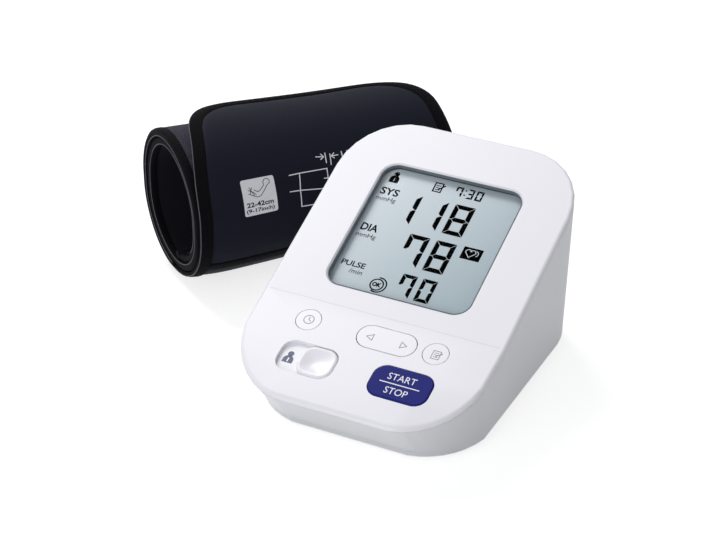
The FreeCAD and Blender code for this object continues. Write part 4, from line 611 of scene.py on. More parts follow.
def display_glass():
    """Grey display glass with a painted reflection, lighter at its upper left and darker at its lower right."""
    material = moulded("lcd_grey", "#B7C5CC", 0.3, 1200, 0.0, 0.02)
    tree = Tree(material.node_tree)
    low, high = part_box("lcd_panel")
    place = tree.add("TexCoord").outputs["Object"]
    parts = tree.add("SeparateXYZ", {"Vector": place}).outputs
    across = tree.add("MapRange", {"Value": parts["X"], "From Min": low.x, "From Max": high.x}).outputs[0]
    down = tree.add("MapRange", {"Value": parts["Y"], "From Min": high.y, "From Max": low.y}).outputs[0]
    # Painted reflection: a blend from light at the upper left to darker at the lower right.
    reflection_share = tree.math("MULTIPLY_ADD", across, 0.55, tree.math("MULTIPLY", down, 0.45))
    painted_reflection = tree.mix("MIX", reflection_share, paint("#DDE8EE"), paint("#A3B6C0"))
    mottled = tree.mix("MULTIPLY", 0.1, painted_reflection, tree.tree.nodes["Group"].outputs["Colour"])
    tree.tree.links.new(mottled, tree.tree.nodes["Principled BSDF"].inputs["Base Color"])
    return material


def window_pane():
    """Clear acrylic: see-through face on, glossy at a glance."""
    material = moulded("window_clear", "#12161A", 0.04, 900, 0.0, 0.01)
    tree = Tree(material.node_tree)
    gloss = tree.add("Fresnel", {"IOR": 1.45}).outputs[0]
    front = tree.math("SUBTRACT", 1.0, tree.add("NewGeometry").outputs["Backfacing"])
    veil = tree.math("MULTIPLY_ADD", tree.math("MULTIPLY", gloss, front), 0.6, 0.01)
    tree.tree.links.new(veil, tree.tree.nodes["Principled BSDF"].inputs["Alpha"])
    return material


FINISHES["lcd_grey"] = display_glass()
FINISHES["window_clear"] = window_pane()


def dress_packed_parts():
    """Every CAD part gets the finish of its slot; what is replaced later keeps it unseen."""
    for row in frame["record"]["subparts"]:
        part = NODES[row["node"]]
        part.data.materials.clear()
        part.data.materials.append(FINISHES[row["material_slot"]])


# --- monitor ------------------------------------------------------------------

def sloping_face(slope):
    """Places of a sloping face: across, up the slope and out, from the middle of the crease."""
    crease = CASE_MIDDLE + Vector((0, -CREASE_FORWARD, CREASE_HEIGHT)) * MM
    face = Matrix.Translation(crease) @ Matrix.Rotation(math.radians(slope), 4, "X") @ Matrix.Scale(MM, 4)
    return lambda x, y, out=0.0: face @ Vector((x, y, out))


key_face = sloping_face(KEY_SLOPE)
screen_face = sloping_face(SCREEN_SLOPE)


def raised(face, height):
    """The same face, further out or in."""
    return lambda x, y, out=0.0: face(x, y, out + height)


# Parts shown with rounded edges: the body each rides on, and the rounding in millimetres.
SHELLS = {
    "front_cover": ("monitor", 0.22), "lower_case": ("monitor", 0.25),
    "battery_cover": ("battery_door", 0.2), "clock_button": ("clock_key", 0.16),
    "memory_button": ("memory_key", 0.16), "start_stop_button": ("start_key", 0.25),
    "arrow_rocker": ("rocker", 0.16), "rubber_feet": ("monitor", 0.3), "air_jack": ("monitor", 0.2),
    "adapter_jack": ("monitor", 0.15), "lcd_frame": ("monitor", 0.15),
}


def smooth_step(value):
    """From nought to one, level at both ends."""
    value = min(max(value, 0.0), 1.0)
    return value * value * (3 - 2 * value)


def shaped_case(point):
    """A point of the case with its wall pushed out towards the foot, but for the wall behind its jacks."""
    x, y, z = (point - CASE_MIDDLE) / MM
    slope = SCREEN_SLOPE if y > -CREASE_FORWARD else KEY_SLOPE
    rim = CREASE_HEIGHT + (y + CREASE_FORWARD) * math.tan(math.radians(slope))
    share = min(max((z - FOOT_HEIGHT) / (rim - FOOT_HEIGHT), 0.0), 1.0)
    half = FOOT_HALF_WIDTH + (RIM_HALF_WIDTH - FOOT_HALF_WIDTH) * share
    front = FOOT_FRONT + (RIM_HALF_DEPTH - FOOT_FRONT) * share
    back = FOOT_BACK + (RIM_HALF_DEPTH - FOOT_BACK) * share
    corner = FOOT_CORNER + (RIM_CORNER - FOOT_CORNER) * share
    middle = (back - front) / 2
    past = Vector((abs(x) - half + corner, abs(y - middle) - (back + front) / 2 + corner))
    if min(past) > 0:
        depth, out = corner - past.length, past.normalized()
    else:
        depth, out = corner - max(past), Vector((1, 0) if past.x > past.y else (0, 1))
    reach = FOOT_WIDER * (1 - share) * smooth_step(1 - (depth - WALL_DEPTH) / WALL_FADE)
    sideways = 1.0 if x > 0 else -smooth_step((JACKS_FRONT - y) / JACKS_FADE)
    shift = Vector((out.x * sideways, math.copysign(out.y, y - middle), 0.0)) * reach
    if y < middle:
        inwards = rounder_corner(past + Vector((CORNER_ROUNDER, CORNER_ROUNDER)), corner, depth)
        shift -= Vector((math.copysign(inwards.x, x), -inwards.y, 0.0))
    return point + shift * MM


def rounder_corner(past, corner, depth):
    """How far a point moves in where a corner gets rounder; past is its place from the new centre."""
    if min(past) <= 0:
        return Vector((0, 0))
    out = past.normalized()
    rounder = corner + CORNER_ROUNDER
    if rounder * min(out) <= CORNER_ROUNDER * max(out):
        outline = rounder / max(out)
    else:
        slant = CORNER_ROUNDER * (out.x + out.y)
        outline = slant + math.sqrt(slant ** 2 - 2 * CORNER_ROUNDER ** 2 + corner ** 2)
    return out * (outline - rounder) * smooth_step(1 - (depth - CORNER_DEPTH) / CORNER_FADE)


def shells():
    """The parts in SHELLS, each in place of its CAD part."""
    slots = {row["node"]: row["material_slot"] for row in frame["record"]["subparts"]}
    for node, (body, edge_round) in SHELLS.items():
        reshape = shaped_case if node in ("front_cover", "lower_case") else None
        softened_copy(node, slots[node], body, edge_round, reshape)


def window_shade_lining():
    """A dark lining on the walls of the display opening: painted shade inside the opening."""
    inner = LINING_GAP + LINING_THICK
    corners = [(LINING_GAP, WINDOW_TOP), (LINING_GAP, LINING_TOP), (inner, LINING_TOP - 0.1),
               (inner, WINDOW_TOP)]
    walls = []
    for inset, depth in corners:
        outline = rounded_box(0, SCREEN_MIDDLE, SCREEN_HALF_WIDTH - inset, SCREEN_HALF_HEIGHT - inset,
                              SCREEN_CORNER - inset)
        walls.append([screen_face(x, y, depth) for x, y in outline])
    add_piece("window_shade_lining", skin(walls, is_stack_closed=True), "window_wall_shade", "monitor")


def switch_plate():
    """The printed plate on the floor of the user switch's recess."""
    plate = Print(raised(key_face, RECESS_DEPTH), under=-PLATE_THICK, over=0.0)
    half, high, corner = SWITCH_HALF_WIDTH, SWITCH_HALF_HEIGHT, SWITCH_CORNER
    plate.plate(rounded_box(SWITCH_X, SWITCH_Y, half - PLATE_GAP, high - PLATE_GAP, corner - PLATE_GAP))
    plate.finish("user_switch_plate", "cover_white", "monitor")


def user_knob():
    """The user switch's knob: a rounded block with a soft square finger dish."""
    edge = [(1.0, -1.65), (1.0, -0.7), (0.985, -0.3), (0.955, -0.08), (0.91, 0.06)]
    dish = []
    for share in steps(DISH_SHARE, 0.04, pitch=0.05):
        dish.append((share, DISH_LIP - DISH_DEPTH * (1 - (share / DISH_SHARE) ** 2) ** DISH_POWER))
    outline = rounded_box(0, 0, KNOB_HALF_WIDTH, KNOB_HALF_HEIGHT, KNOB_CORNER, 12)
    rings = []
    for share, height in edge + dish:
        roundness = max(1 - share / DISH_SHARE, 0.0)
        ring = [Vector(corner) for corner in outline]
        ring = [corner.lerp(corner.normalized() * KNOB_HALF_HEIGHT, roundness) * share for corner in ring]
        rings.append([key_face(KNOB_X + place.x - roundness, SWITCH_Y + place.y, height) for place in ring])
    knob = skin(rings, sharp_angle=60)
    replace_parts(add_piece("user_switch_dished_knob", knob, "key_white", "user_switch"),
                "user_switch_knob")


# Which of the seven bars are lit for each figure: a is the top one, then clockwise, g in the middle.
LIT_BARS = {"0": "abcdef", "1": "bc", "3": "abcdg", "7": "abcf", "8": "abcdefg"}
# Gap between two bars, as a share of their thickness.
BAR_GAP = 0.07


def figure(print_, number, right, low, wide, high, thick):
    """A seven-bar figure; its right edge and foot are given."""
    gap = thick * BAR_GAP
    half = high / 2
    inner = wide - gap - thick
    level = [(gap, high), (wide - gap, high), (inner, high - thick), (gap + thick, high - thick)]
    upright = [(wide, high - gap), (wide, half + gap), (wide - thick / 2, half + gap),
               (wide - thick, half + thick / 2 + gap), (wide - thick, high - thick - gap)]
    middle = [(thick / 2 + gap, half), (thick + gap, half + thick / 2), (inner, half + thick / 2)]
    bars = {
        "a": level, "b": upright, "c": [(x, high - y) for x, y in upright],
        "d": [(x, high - y) for x, y in level], "e": [(wide - x, high - y) for x, y in upright],
        "f": [(wide - x, y) for x, y in upright],
        "g": middle + [(wide - x, high - y) for x, y in middle],
    }
    for bar in LIT_BARS[number]:
        print_.plate([(right - wide + x, low + y) for x, y in bars[bar]])


def display_readings():
    """The lit figures: each row's figures with their right edges, then foot, width, height, thickness."""
    ink = Print(raised(screen_face, DISPLAY_DEPTH))
    for figures, low, wide, high, thick in (
            ((("1", -11.1), ("1", 1.0), ("8", 13.1)), 49.7, 9.1, 16.1, 2.15),
            ((("7", 1.0), ("8", 13.1)), 29.3, 9.1, 16.3, 2.15),
            ((("7", 4.2), ("0", 13.2)), 13.7, 6.5, 11.7, 1.7),
            ((("7", 4.1), ("3", 9.3), ("0", 13.4)), 69.7, 3.1, 5.3, 0.85)):
        for number, right in figures:
            figure(ink, number, right, low, wide, high, thick)
    for height in (70.9, 73.4):
        ink.plate([(5.0, height), (5.7, height), (5.7, height + 0.7), (5.0, height + 0.7)])
    ink.finish("display_readings", "display_segments", "monitor")


def display_labels():
    """Words and units beside the figures, and the OK mark in its ring."""
    ink = Print(raised(screen_face, DISPLAY_DEPTH))
    for label in (
            ("SYS", -30.2, -21.8, 62.1, 66.0, 0.022), ("mmHg", -30.5, -21.5, 58.1, 61.0),
            ("DIA", -30.1, -22.4, 41.7, 45.6, 0.022), ("mmHg", -30.5, -21.5, 37.5, 40.4),
            ("PULSE", -30.1, -19.3, 22.5, 25.3, 0.018), ("/min", -25.1, -19.1, 19.2, 21.6),
            ("OK", -12.85, -8.85, 15.7, 17.9, 0.055)):
        ink.words(*label)
    ink.line(arc(-10.85, 16.75, 2.8), width=0.6, is_closed=True)
    ink.line(arc(-10.4, 16.75, 3.7, -118, 100, 20), width=0.62)
    ink.finish("display_labels", "display_segments", "monitor")


def display_pictograms():
    """The user, heart and memory marks of the display."""
    ink = Print(raised(screen_face, DISPLAY_DEPTH))
    ink.plate(arc(-26.9, 73.9, 1.25, count=16))
    ink.plate([(-29.1, 69.1), (-24.9, 69.1), (-24.9, 71.5), (-25.3, 72.4), (-26.1, 72.9), (-27.9, 72.9),
               (-28.7, 72.4), (-29.1, 71.5)])
    ink.plate([(16.3, 39.7), (24.9, 39.7), (24.9, 46.0), (16.3, 46.0)])
    ink.line([(-8.7, 69.7), (-5.2, 69.7), (-5.2, 74.4), (-8.7, 74.4)], width=0.6, is_closed=True)
    for height in (70.8, 71.9, 73.0):
        ink.line([(-8.1, height), (-5.9, height)], width=0.42)
    ink.line([(-6.6, 71.0), (-4.1, 73.7)], width=0.62)
    ink.finish("display_pictograms", "display_segments", "monitor")
    light = Print(raised(screen_face, DISPLAY_DEPTH + INK_OVER))
    heart = arc(19.0, 43.6, 1.25, 20, 200, 9) + [(19.9, 40.9)] + arc(20.9, 43.6, 1.25, -20, 160, 9)
    light.line(heart, width=0.36, is_closed=True)
    light.line(arc(21.9, 43.3, 1.5, -60, 80, 9), width=0.36)
    light.plate([(-27.15, 69.9), (-26.85, 69.9), (-26.85, 71.5), (-27.15, 71.5)])
    light.finish("display_heart", "display_light", "monitor")


def key_marks():
    """The keys' marks, as lines (points, width, whether closed), START/STOP and the user pictograms."""
    hands = [(-28.1, -9.2), (-28.1, -10.7), (-27.0, -11.3)]
    sheet = [(26.9, -13.2), (30.2, -13.2), (30.2, -9.2), (26.9, -9.2)]
    writing = [([(27.6, height), (29.5, height)], 0.28) for height in (-12.2, -11.2, -10.2)]
    marks = {
        "clock_key_mark": ("clock_key", [(arc(-28.1, -10.6, 2.15), 0.34, True), (hands, 0.34)]),
        "arrow_key_marks": ("rocker", [
            ([(-1.95, -11.0), (0.83, -12.4), (0.8, -9.4)], 0.32, True),
            ([(15.66, -10.9), (13.0, -9.4), (13.1, -12.5)], 0.32, True)]),
        "memory_key_mark": ("memory_key", [
            (sheet, 0.32, True), *writing, ([(28.6, -11.9), (31.0, -9.9)], 0.42)]),
    }
    for name, (body, lines) in marks.items():
        mark = Print(key_face)
        for line in lines:
            mark.line(*line)
        mark.finish(name, "key_grey_ink", body)
    start = Print(raised(key_face, START_KEY_PROUD))
    start.words("START", 15.0, 27.0, -28.3, -25.1)
    start.words("STOP", 16.3, 26.0, -35.0, -31.8)
    start.plate([(12.6, -30.22), (29.7, -30.22), (29.7, -29.78), (12.6, -29.78)])
    start.finish("start_key_lettering", "key_light_ink", "start_key")
    user = Print(raised(key_face, RECESS_DEPTH))
    number = Print(raised(key_face, RECESS_DEPTH + INK_OVER))
    for middle in (SWITCH_X - USER_REACH, SWITCH_X + USER_REACH):
        user.plate(arc(middle, -27.9, 1.3, count=16))
        user.plate([(middle - 2.25, -32.5), (middle + 2.25, -32.5)] + arc(middle, -31.0, 2.25, 0, 180, 11))
    number.words("1", SWITCH_X - 8.5, SWITCH_X - 7.9, -32.0, -30.0, 0.02)
    number.words("2", SWITCH_X + 7.7, SWITCH_X + 8.7, -32.0, -30.0, 0.02)
    user.finish("user_marks", "key_slate_ink", "monitor")
    number.finish("user_numbers", "key_light_ink", "monitor")


def crease_line():
    """A fine grey line where the key face meets the display face: painted shade along the crease."""
    crease = Print(key_face)
    crease.line([(-CREASE_HALF, 0.0), (CREASE_HALF, 0.0)], width=0.2)
    crease.finish("cover_crease_line", "cover_shade", "monitor")


# --- cuff ---------------------------------------------------------------------

# Two arcs whose ends lie further apart than this, in millimetres, are joined by a straight.
ARCS_MEET = 0.01


class RollPath:
    """A line of arcs joined by straights, followed by its length in millimetres.

    arcs holds (centre y, centre z, radius, first angle, last angle) each.
    """

    def __init__(self, arcs):
        self.spans = []
        self.length = 0.0
        end = None
        for y, z, radius, first, last in arcs:
            circle = (y, z, radius)
            start = self.on_arc(circle, first)[0]
            if end is not None and (start - end).length > ARCS_MEET:
                self.add_span((start - end).length,
                              lambda share, a=end, b=start, turn=first: (a.lerp(b, share), turn))
            self.add_span(math.radians(abs(last - first)) * radius, (
                lambda share, circle=circle, a=first, b=last: self.on_arc(circle, a + (b - a) * share)))
            end = self.on_arc(circle, last)[0]

    @staticmethod
    def on_arc(circle, turn):
        y, z, radius = circle
        angle = math.radians(turn)
        return Vector((y + radius * math.cos(angle), z + radius * math.sin(angle))), turn

    def add_span(self, length, point):
        self.spans.append((self.length, length, point))
        self.length += length

    def at(self, length, depth):
        """The place at a length along the line and a depth under it, and the way out there in degrees."""
        length = min(max(length, 0.0), self.length)
        start, run, point = [span for span in self.spans if span[0] <= length + 1e-9][-1]
        place, turn = point((length - start) / run)
        angle = math.radians(turn)
        return place - Vector((math.cos(angle), math.sin(angle))) * depth, turn


CUFF_FRAME = (Matrix.Translation(CASE_MIDDLE + CUFF_LEFT * MM)
              @ Matrix.Rotation(math.radians(CUFF_TURN), 4, "Z") @ Matrix.Scale(MM, 4))
STRIP_PATH = RollPath([
    (0, ROLL_RADIUS, ROLL_RADIUS, -90, 0),
    (ROLL_PITCH / 2, ROLL_TOP, ROLL_RADIUS - ROLL_PITCH / 2, 0, 180),
    (0, ROLL_RADIUS, ROLL_RADIUS - ROLL_PITCH, 180, 360),
    (ROLL_PITCH / 2, ROLL_TOP, ROLL_RADIUS - 1.5 * ROLL_PITCH, 360, 540),
    (0, ROLL_RADIUS, ROLL_RADIUS - 2 * ROLL_PITCH, 540, 630),
])
PANEL_TOP_RADIUS = ROLL_RADIUS - ROLL_PITCH / 2 + (PANEL_RADIUS - ROLL_RADIUS + ROLL_PITCH)
LIFT_ANGLE = math.radians(180 - FLAP_ANGLE)
PANEL_PATH = RollPath([
    (0, ROLL_RADIUS, PANEL_RADIUS, 270, 180),
    (ROLL_PITCH / 2, ROLL_TOP, PANEL_TOP_RADIUS, 180, 180 - FLAP_ANGLE),
    (ROLL_PITCH / 2 - FLAP_LIFT * math.cos(LIFT_ANGLE), ROLL_TOP - FLAP_LIFT * math.sin(LIFT_ANGLE),
     PANEL_TOP_RADIUS + FLAP_LIFT, 180 - FLAP_ANGLE, 180 - FLAP_END),
])
HINGE_LENGTH = PANEL_PATH.length - math.radians(FLAP_END - FLAP_ANGLE) * (PANEL_TOP_RADIUS + FLAP_LIFT)


def sway(turn, along):
    """How far the soft roll stands out of true, in millimetres; nought where it rests on the table."""
    angle = math.radians(turn)
    lifted = 0.5 + 0.5 * math.sin(angle)
    round_the_roll = Vector((math.cos(angle), math.sin(angle))) * SWAY_WAVES
    return SWAY * lifted * noise.noise(Vector((*round_the_roll, along / SWAY_RUN)))


def soft_wave(length, along):
    """Shallow unevenness of the padded strip."""
    return UNEVEN * noise.noise(Vector((length / 9, along / 14, 3.0)))


def edge_shift(length):
    """The inner turns lie a little further in at the mouth."""
    return INNER_SHIFT * (length / STRIP_PATH.length) ** 2


def on_roll(path, length, along, depth):
    """A point of the rolled cuff, in the frame."""
    if path is STRIP_PATH:
        thin = max(0.0, 1 - length / EDGE_FOOT) ** 2
        depth += thin * (EDGE_SINK - EDGE_SQUEEZE * depth)
    place, turn = path.at(length, depth)
    angle = math.radians(turn)
    place += Vector((math.cos(angle), math.sin(angle))) * sway(turn, along)
    size = 1 - CUFF_TAPER * min(max(along, 0), CUFF_LENGTH) / CUFF_LENGTH
    height = place.y * size
    height += MOUTH_LIFT * math.exp(-max(along, 0) / MOUTH_REACH) * max(0.0, 1 - height / ROLL_RADIUS)
    if height < SOFT_FOOT:
        height = SOFT_FOOT + (height - SOFT_FOOT) * FOOT_GIVE
    return CUFF_FRAME @ Vector((along, place.x * size, height))


def on_strip(length, along, depth):
    """A point of the rolled strip, in the frame."""
    return on_roll(STRIP_PATH, length, along, depth)


def on_panel(up, along, depth):
    """A point of the panel laid over the roll, in the frame."""
    return on_roll(PANEL_PATH, up, along, depth)


def steps(first, last, pitch):
    """Evenly spaced values from first to last, about pitch apart."""
    count = max(1, round(abs(last - first) / pitch))
    return [first + (last - first) * i / count for i in range(count + 1)]


def laid(name, rows, place, finish, body=None, **how):
    """A piece skinned through rows of spots, each with its place on the roll and on the flat cloth."""
    rings = [[place(*spot) for spot, _ in row] for row in rows]
    marks = [[(u * MM, v * MM) for _, (u, v) in row] for row in rows]
    return add_piece(name, skin(rings, marks, **how), finish, body)


def layer(name, outer_depth, inner_depth, finish):
    """One cloth of the rolled strip, between its bound edges."""
    alongs = steps(BINDING_WIDE - TUCK, CUFF_LENGTH - BINDING_WIDE + TUCK, pitch=4.0)
    faces = [(along, outer_depth) for along in alongs] + [(along, inner_depth) for along in alongs[::-1]]
    rows = [[((length, along, depth + soft_wave(length, along)), (length, along)) for along, depth in faces]
            for length in steps(0.6, STRIP_PATH.length - 0.6, pitch=2.0)]
    piece = laid(name, rows, on_strip, finish, "cuff")
    return piece


def inner_end():
    """The folded braid across the strip's inner end."""
    end = STRIP_PATH.length
    profile = [(4.0, -0.15), (1.0, -0.15), (0.35, 0.3), (0.02, 1.2), (0.02, 2.5), (0.35, 3.3), (1.0, 3.75),
               (4.0, 3.75), (4.1, 2.5), (4.1, 1.2)]
    rows = []
    for along in steps(edge_shift(end), CUFF_LENGTH - edge_shift(end), pitch=3.0):
        rows.append([((end - inset, along, depth), (along, i * FOLD_MARK))
                     for i, (inset, depth) in enumerate(profile)])
    laid("cuff_inner_end_binding", rows, on_strip, "cuff_braid", "cuff", sharp_angle=70)


def corded_line(name, place, run, body=None, is_closed=False):
    """A thin round cord along a run of (length, along, depth) on the roll."""
    centres = [place(*spot) for spot in run]
    rings = []
    for i, (length, along, depth) in enumerate(run):
        before = centres[i - 1] if is_closed or i else centres[0]
        after = centres[(i + 1) % len(run) if is_closed else min(i + 1, len(run) - 1)]
        tangent = after - before
        side = tangent.cross(place(length, along, depth - 1) - centres[i]).normalized()
        out = side.cross(tangent).normalized()
        rings.append([centres[i] + (out * y + side * x) * MM for x, y in arc(0, 0, CORD_RADIUS, count=6)])
    return add_piece(name, skin(rings, is_stack_closed=is_closed, sharp_angle=80), "cuff_piping_and_fold_highlight", body)


def piping_and_fold_highlights():
    """Light cords along the folds of the mouth, painted highlight where the folds catch the light, and piping
    round the panel.
    """
    # The cords at the mouth and at the far edge are painted highlight along the folds.
    lengths = steps(2, STRIP_PATH.length - FOLD_HIGHLIGHT_STOP, pitch=1.6)
    insets = [edge_shift(length) + FOLD_HIGHLIGHT_INSET for length in lengths]
    run = [(length, inset, FOLD_HIGHLIGHT_DEPTH) for length, inset in zip(lengths, insets)]
    corded_line("cuff_mouth_fold_highlight", on_strip, run, "cuff")
    run = [(length, CUFF_LENGTH - inset, FOLD_HIGHLIGHT_DEPTH) for length, inset in zip(lengths, insets)]
    corded_line("cuff_far_fold_highlight", on_strip, run, "cuff")
    run = [(point.y, point.x, PANEL_PIPING_DEPTH) for point in panel_outline(PANEL_PIPING_INSET)]
    bend_at_hinge(corded_line("cuff_panel_piping", on_panel, run, is_closed=True))


def panel_seam():
    """The braid over the seam low on the panel, where it is sewn to the roll."""
    profile = [(SEAM_LOW, -0.3), (SEAM_LOW + 0.2, 0.3), (SEAM_LOW + 0.9, 0.5), (SEAM_HIGH - 0.9, 0.5),
               (SEAM_HIGH - 0.2, 0.3), (SEAM_HIGH, -0.3)]
    rows = [[((along, up, out), (along, up)) for up, out in profile]
            for along in steps(PANEL_LEFT + SEAM_INSET, CUFF_LENGTH - BORDER_WIDE + TUCK, pitch=3.0)]
    laid("cuff_panel_seam_braid", rows, panel_place, "cuff_braid", "cuff", sharp_angle=60)


def hook_pad():
    """The hook pad under the free end, with rows of hooks."""
    low, high = HINGE_LENGTH + HOOKS_FOOT, PANEL_PATH.length - BORDER_WIDE
    left, right = HOOKS_LEFT, CUFF_LENGTH - HOOKS_RIGHT
    top = PANEL_THICK + HOOKS_THICK
    alongs = steps(left, right, pitch=3.0)
    faces = [(along, PANEL_THICK - HOOKS_SUNK) for along in alongs]
    faces += [(along, top) for along in alongs[::-1]]
    rings = [[on_panel(up, *face) for face in faces] for up in steps(low, high, pitch=2.5)]
    pad = add_piece("cuff_hook_pad_base", skin(rings), "hook_black", "cuff_free_end")
    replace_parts(pad, "cuff_hook_pad")
    rows = [[on_panel(up, along, top) for along in steps(left + 1, right - 1, HOOK_PITCH)]
            for up in steps(low + 3, high - 1, HOOK_PITCH)]
    across = len(rows[0])
    faces = [(i * across + j, (i + 1) * across + j, (i + 1) * across + j + 1, i * across + j + 1)
             for i in range(len(rows) - 1) for j in range(across - 1)]
    points = [point for row in rows for point in row]
    hooks = repeated("cuff_hooks", hook_tree(), points, [], faces, "hook_black", "cuff_free_end")


def bound_edge(name, is_left):
    """The folded braid round one edge of the strip."""
    proud, wide = 0.1, BINDING_WIDE
    profile = [
        (wide, -proud * 0.3), (wide - 0.5, -proud), (1.6, -proud), (0.75, 0.2), (0.2, 0.9), (0.0, 1.8),
        (0.2, 2.7), (0.75, 3.4), (1.6, STRIP_THICK + proud), (wide - 0.5, STRIP_THICK + proud),
        (wide, STRIP_THICK + proud * 0.3), (wide + 0.1, 2.6), (wide + 0.1, 1.0)]
    rows = []
    for length in steps(0.0, STRIP_PATH.length, pitch=1.6):
        row = []
        for i, (inset, depth) in enumerate(profile):
            inset += edge_shift(length) * (1 - inset / (wide + 4))
            along = inset if is_left else CUFF_LENGTH - inset
            row.append(((length, along, depth), (length, i * FOLD_MARK)))
        rows.append(row)
    return laid(name, rows, on_strip, "cuff_braid", "cuff", sharp_angle=70)


# Outline of the outer panel on its flat cloth: (along the roll, up the cloth, corner radius). A radius
# stays above SMALLEST_RADIUS where the outline moves inwards; a bend has a point every BEND_STEP degrees.
SMALLEST_RADIUS = 0.02
BEND_STEP = 6
PANEL_CORNERS = [
    (PANEL_FOOT_LEFT, 0.0, 1.0), (CUFF_LENGTH, 0.0, 4.0), (CUFF_LENGTH, HINGE_LENGTH, 90.0),
    (CUFF_LENGTH - FLAP_RIGHT_SLANT, PANEL_PATH.length, FLAP_CORNER),
    (PANEL_LEFT + FLAP_LEFT_SLANT, PANEL_PATH.length, FLAP_CORNER), (PANEL_LEFT, HINGE_LENGTH, 90.0),
]


def panel_outline(inset):
    """Points of the panel's outline moved inwards, always as many, running anticlockwise."""
    corners = [Vector(corner[:2]) for corner in PANEL_CORNERS]
    count = len(corners)
    bends, cuts = [], []
    for i, corner in enumerate(corners):
        before = (corner - corners[i - 1]).normalized()
        after = (corners[(i + 1) % count] - corner).normalized()
        turn = before.angle(after)
        radius = PANEL_CORNERS[i][2]
        cuts.append(radius * math.tan(turn / 2))
        inwards = Vector((-before.y, before.x))
        centre = corner - before * cuts[-1] + inwards * radius
        shrunk = max(radius - inset, SMALLEST_RADIUS)
        slide = 0.0
        if radius - inset < SMALLEST_RADIUS:
            slide = (inset - radius + shrunk) / math.cos(turn / 2)
        centre += (inwards + Vector((-after.y, after.x))).normalized() * slide
        arc_steps = max(2, round(math.degrees(turn) / BEND_STEP))
        bend = []
        for k in range(arc_steps + 1):
            normal = inwards.copy()
            normal.rotate(Matrix.Rotation(turn * k / arc_steps, 2))
            bend.append(centre - normal * shrunk)
        bends.append(bend)
    points = []
    for i, bend in enumerate(bends):
        k = (i + 1) % count
        run = (corners[k] - corners[i]).length - cuts[i] - cuts[k]
        points += bend
        points += [bend[-1].lerp(bends[k][0], share) for share in steps(0, 1, pitch=1.6 / run)[1:-1]]
    return points


def face_depth(along, up):
    """Depth of the printed face under the panel's border: softly padded and not quite even."""
    edge = min(along - PANEL_LEFT, CUFF_LENGTH - along, up, PANEL_PATH.length - up) - BORDER_WIDE
    crown = CROWN * (1 - math.exp(-max(edge, 0) / CROWN_REACH))
    ripple = RIPPLE * noise.noise(Vector((along / 24, up / 17, 8.0)))
    return CROWN - crown + ripple


def panel_place(along, up, out):
    """A point of a print or a braid on the panel's face."""
    return on_panel(up, along, face_depth(along, up) - out)


def panel_border():
    """The raised ribbed border round the panel."""
    thick = PANEL_THICK
    profile = [(BORDER_WIDE, thick), (3.0, thick), (1.2, thick), (0.4, thick - 0.35), (0.08, thick - 0.9),
               (0.0, thick / 2), (0.08, 0.8), (0.4, 0.3), (1.2, 0.02), (2.6, -0.06), (4.2, -0.04),
               (5.3, 0.06), (5.9, 0.35), (6.15, 0.8), (BORDER_WIDE, 1.3)]
    rows = []
    for inset, depth in profile:
        outline = panel_outline(inset)
        travelled = 0.0
        row = []
        for i, point in enumerate(outline):
            travelled += (point - outline[i - 1]).length if i else 0.0
            row.append(((point.y, point.x, depth), (travelled, inset)))
        rows.append(row)
    border = laid("cuff_panel_border", rows, on_panel, "cuff_braid", is_stack_closed=True, sharp_angle=80)
    bend_at_hinge(border)


def panel_face():
    """The smooth printed face inside the border, and its back."""
    insets = [(BORDER_WIDE + 0.02, 0.95), (BORDER_WIDE + 0.35, 0.45), (BORDER_WIDE + 0.9, 0.15),
              (BORDER_WIDE + 2.0, 0.0)]
    loops = [panel_outline(inset) for inset, _ in insets]
    count = len(loops[0])
    pitch = 1.9
    inner = panel_outline(insets[-1][0] + pitch * 0.6)
    grid = [Vector((x, y)) for x in steps(PANEL_LEFT, CUFF_LENGTH, pitch)
            for y in steps(0, PANEL_PATH.length, pitch) if is_within(Vector((x, y)), inner)]
    flat = [point for loop in loops for point in loop] + grid
    edges = [(k * count + i, k * count + (i + 1) % count) for k in range(len(loops)) for i in range(count)]
    points, _, triangles, *_ = geometry.delaunay_2d_cdt(flat, edges, [], 0, 1e-4)
    sunk = {i: insets[i // count][1] for i in range(len(loops) * count)}
    built = bmesh.new()
    cloth_marks = built.loops.layers.uv.new("cloth")
    top, under = [], []
    for i, point in enumerate(points):
        depth = face_depth(point.x, point.y) + sunk.get(i, 0.0) + pucker(point, i // count)
        top.append(built.verts.new(on_panel(point.y, point.x, depth)))
        under.append(built.verts.new(on_panel(point.y, point.x, PANEL_THICK - 0.1)))
    for side, turn in ((top, 1), (under, -1)):
        for triangle in triangles:
            corners = triangle[::turn]
            face = built.faces.new([side[i] for i in corners])
            for loop, i in zip(face.loops, corners):
                loop[cloth_marks].uv = points[i] * MM
    for i in range(count):
        k = (i + 1) % count
        built.faces.new((top[i], under[i], under[k], top[k]))
    piece = add_piece("cuff_panel_face", finished_mesh(built, 60), "cuff_print")
    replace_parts(piece, "cuff_panel", "cuff_flap")
    bend_at_hinge(piece)


def pucker(point, row):
    """Small dimples where the stitches pull the face down, in the rows nearest to them."""
    if row >= len(PUCKER_SHARES):
        return 0.0
    wave = 1 + math.cos(2 * math.pi * (point.x + point.y) / STITCH_PITCH)
    return PUCKER_DEPTH * wave * PUCKER_SHARES[row]


def is_within(point, outline):
    """Whether a point lies inside a convex outline that runs anticlockwise."""
    count = len(outline)
    for i in range(count):
        a, b = outline[i], outline[(i + 1) % count]
        side = (b.x - a.x) * (point.y - a.y) - (b.y - a.y) * (point.x - a.x)
        if side <= 0 and (b - a).length > 1e-4:
            return False
    return True


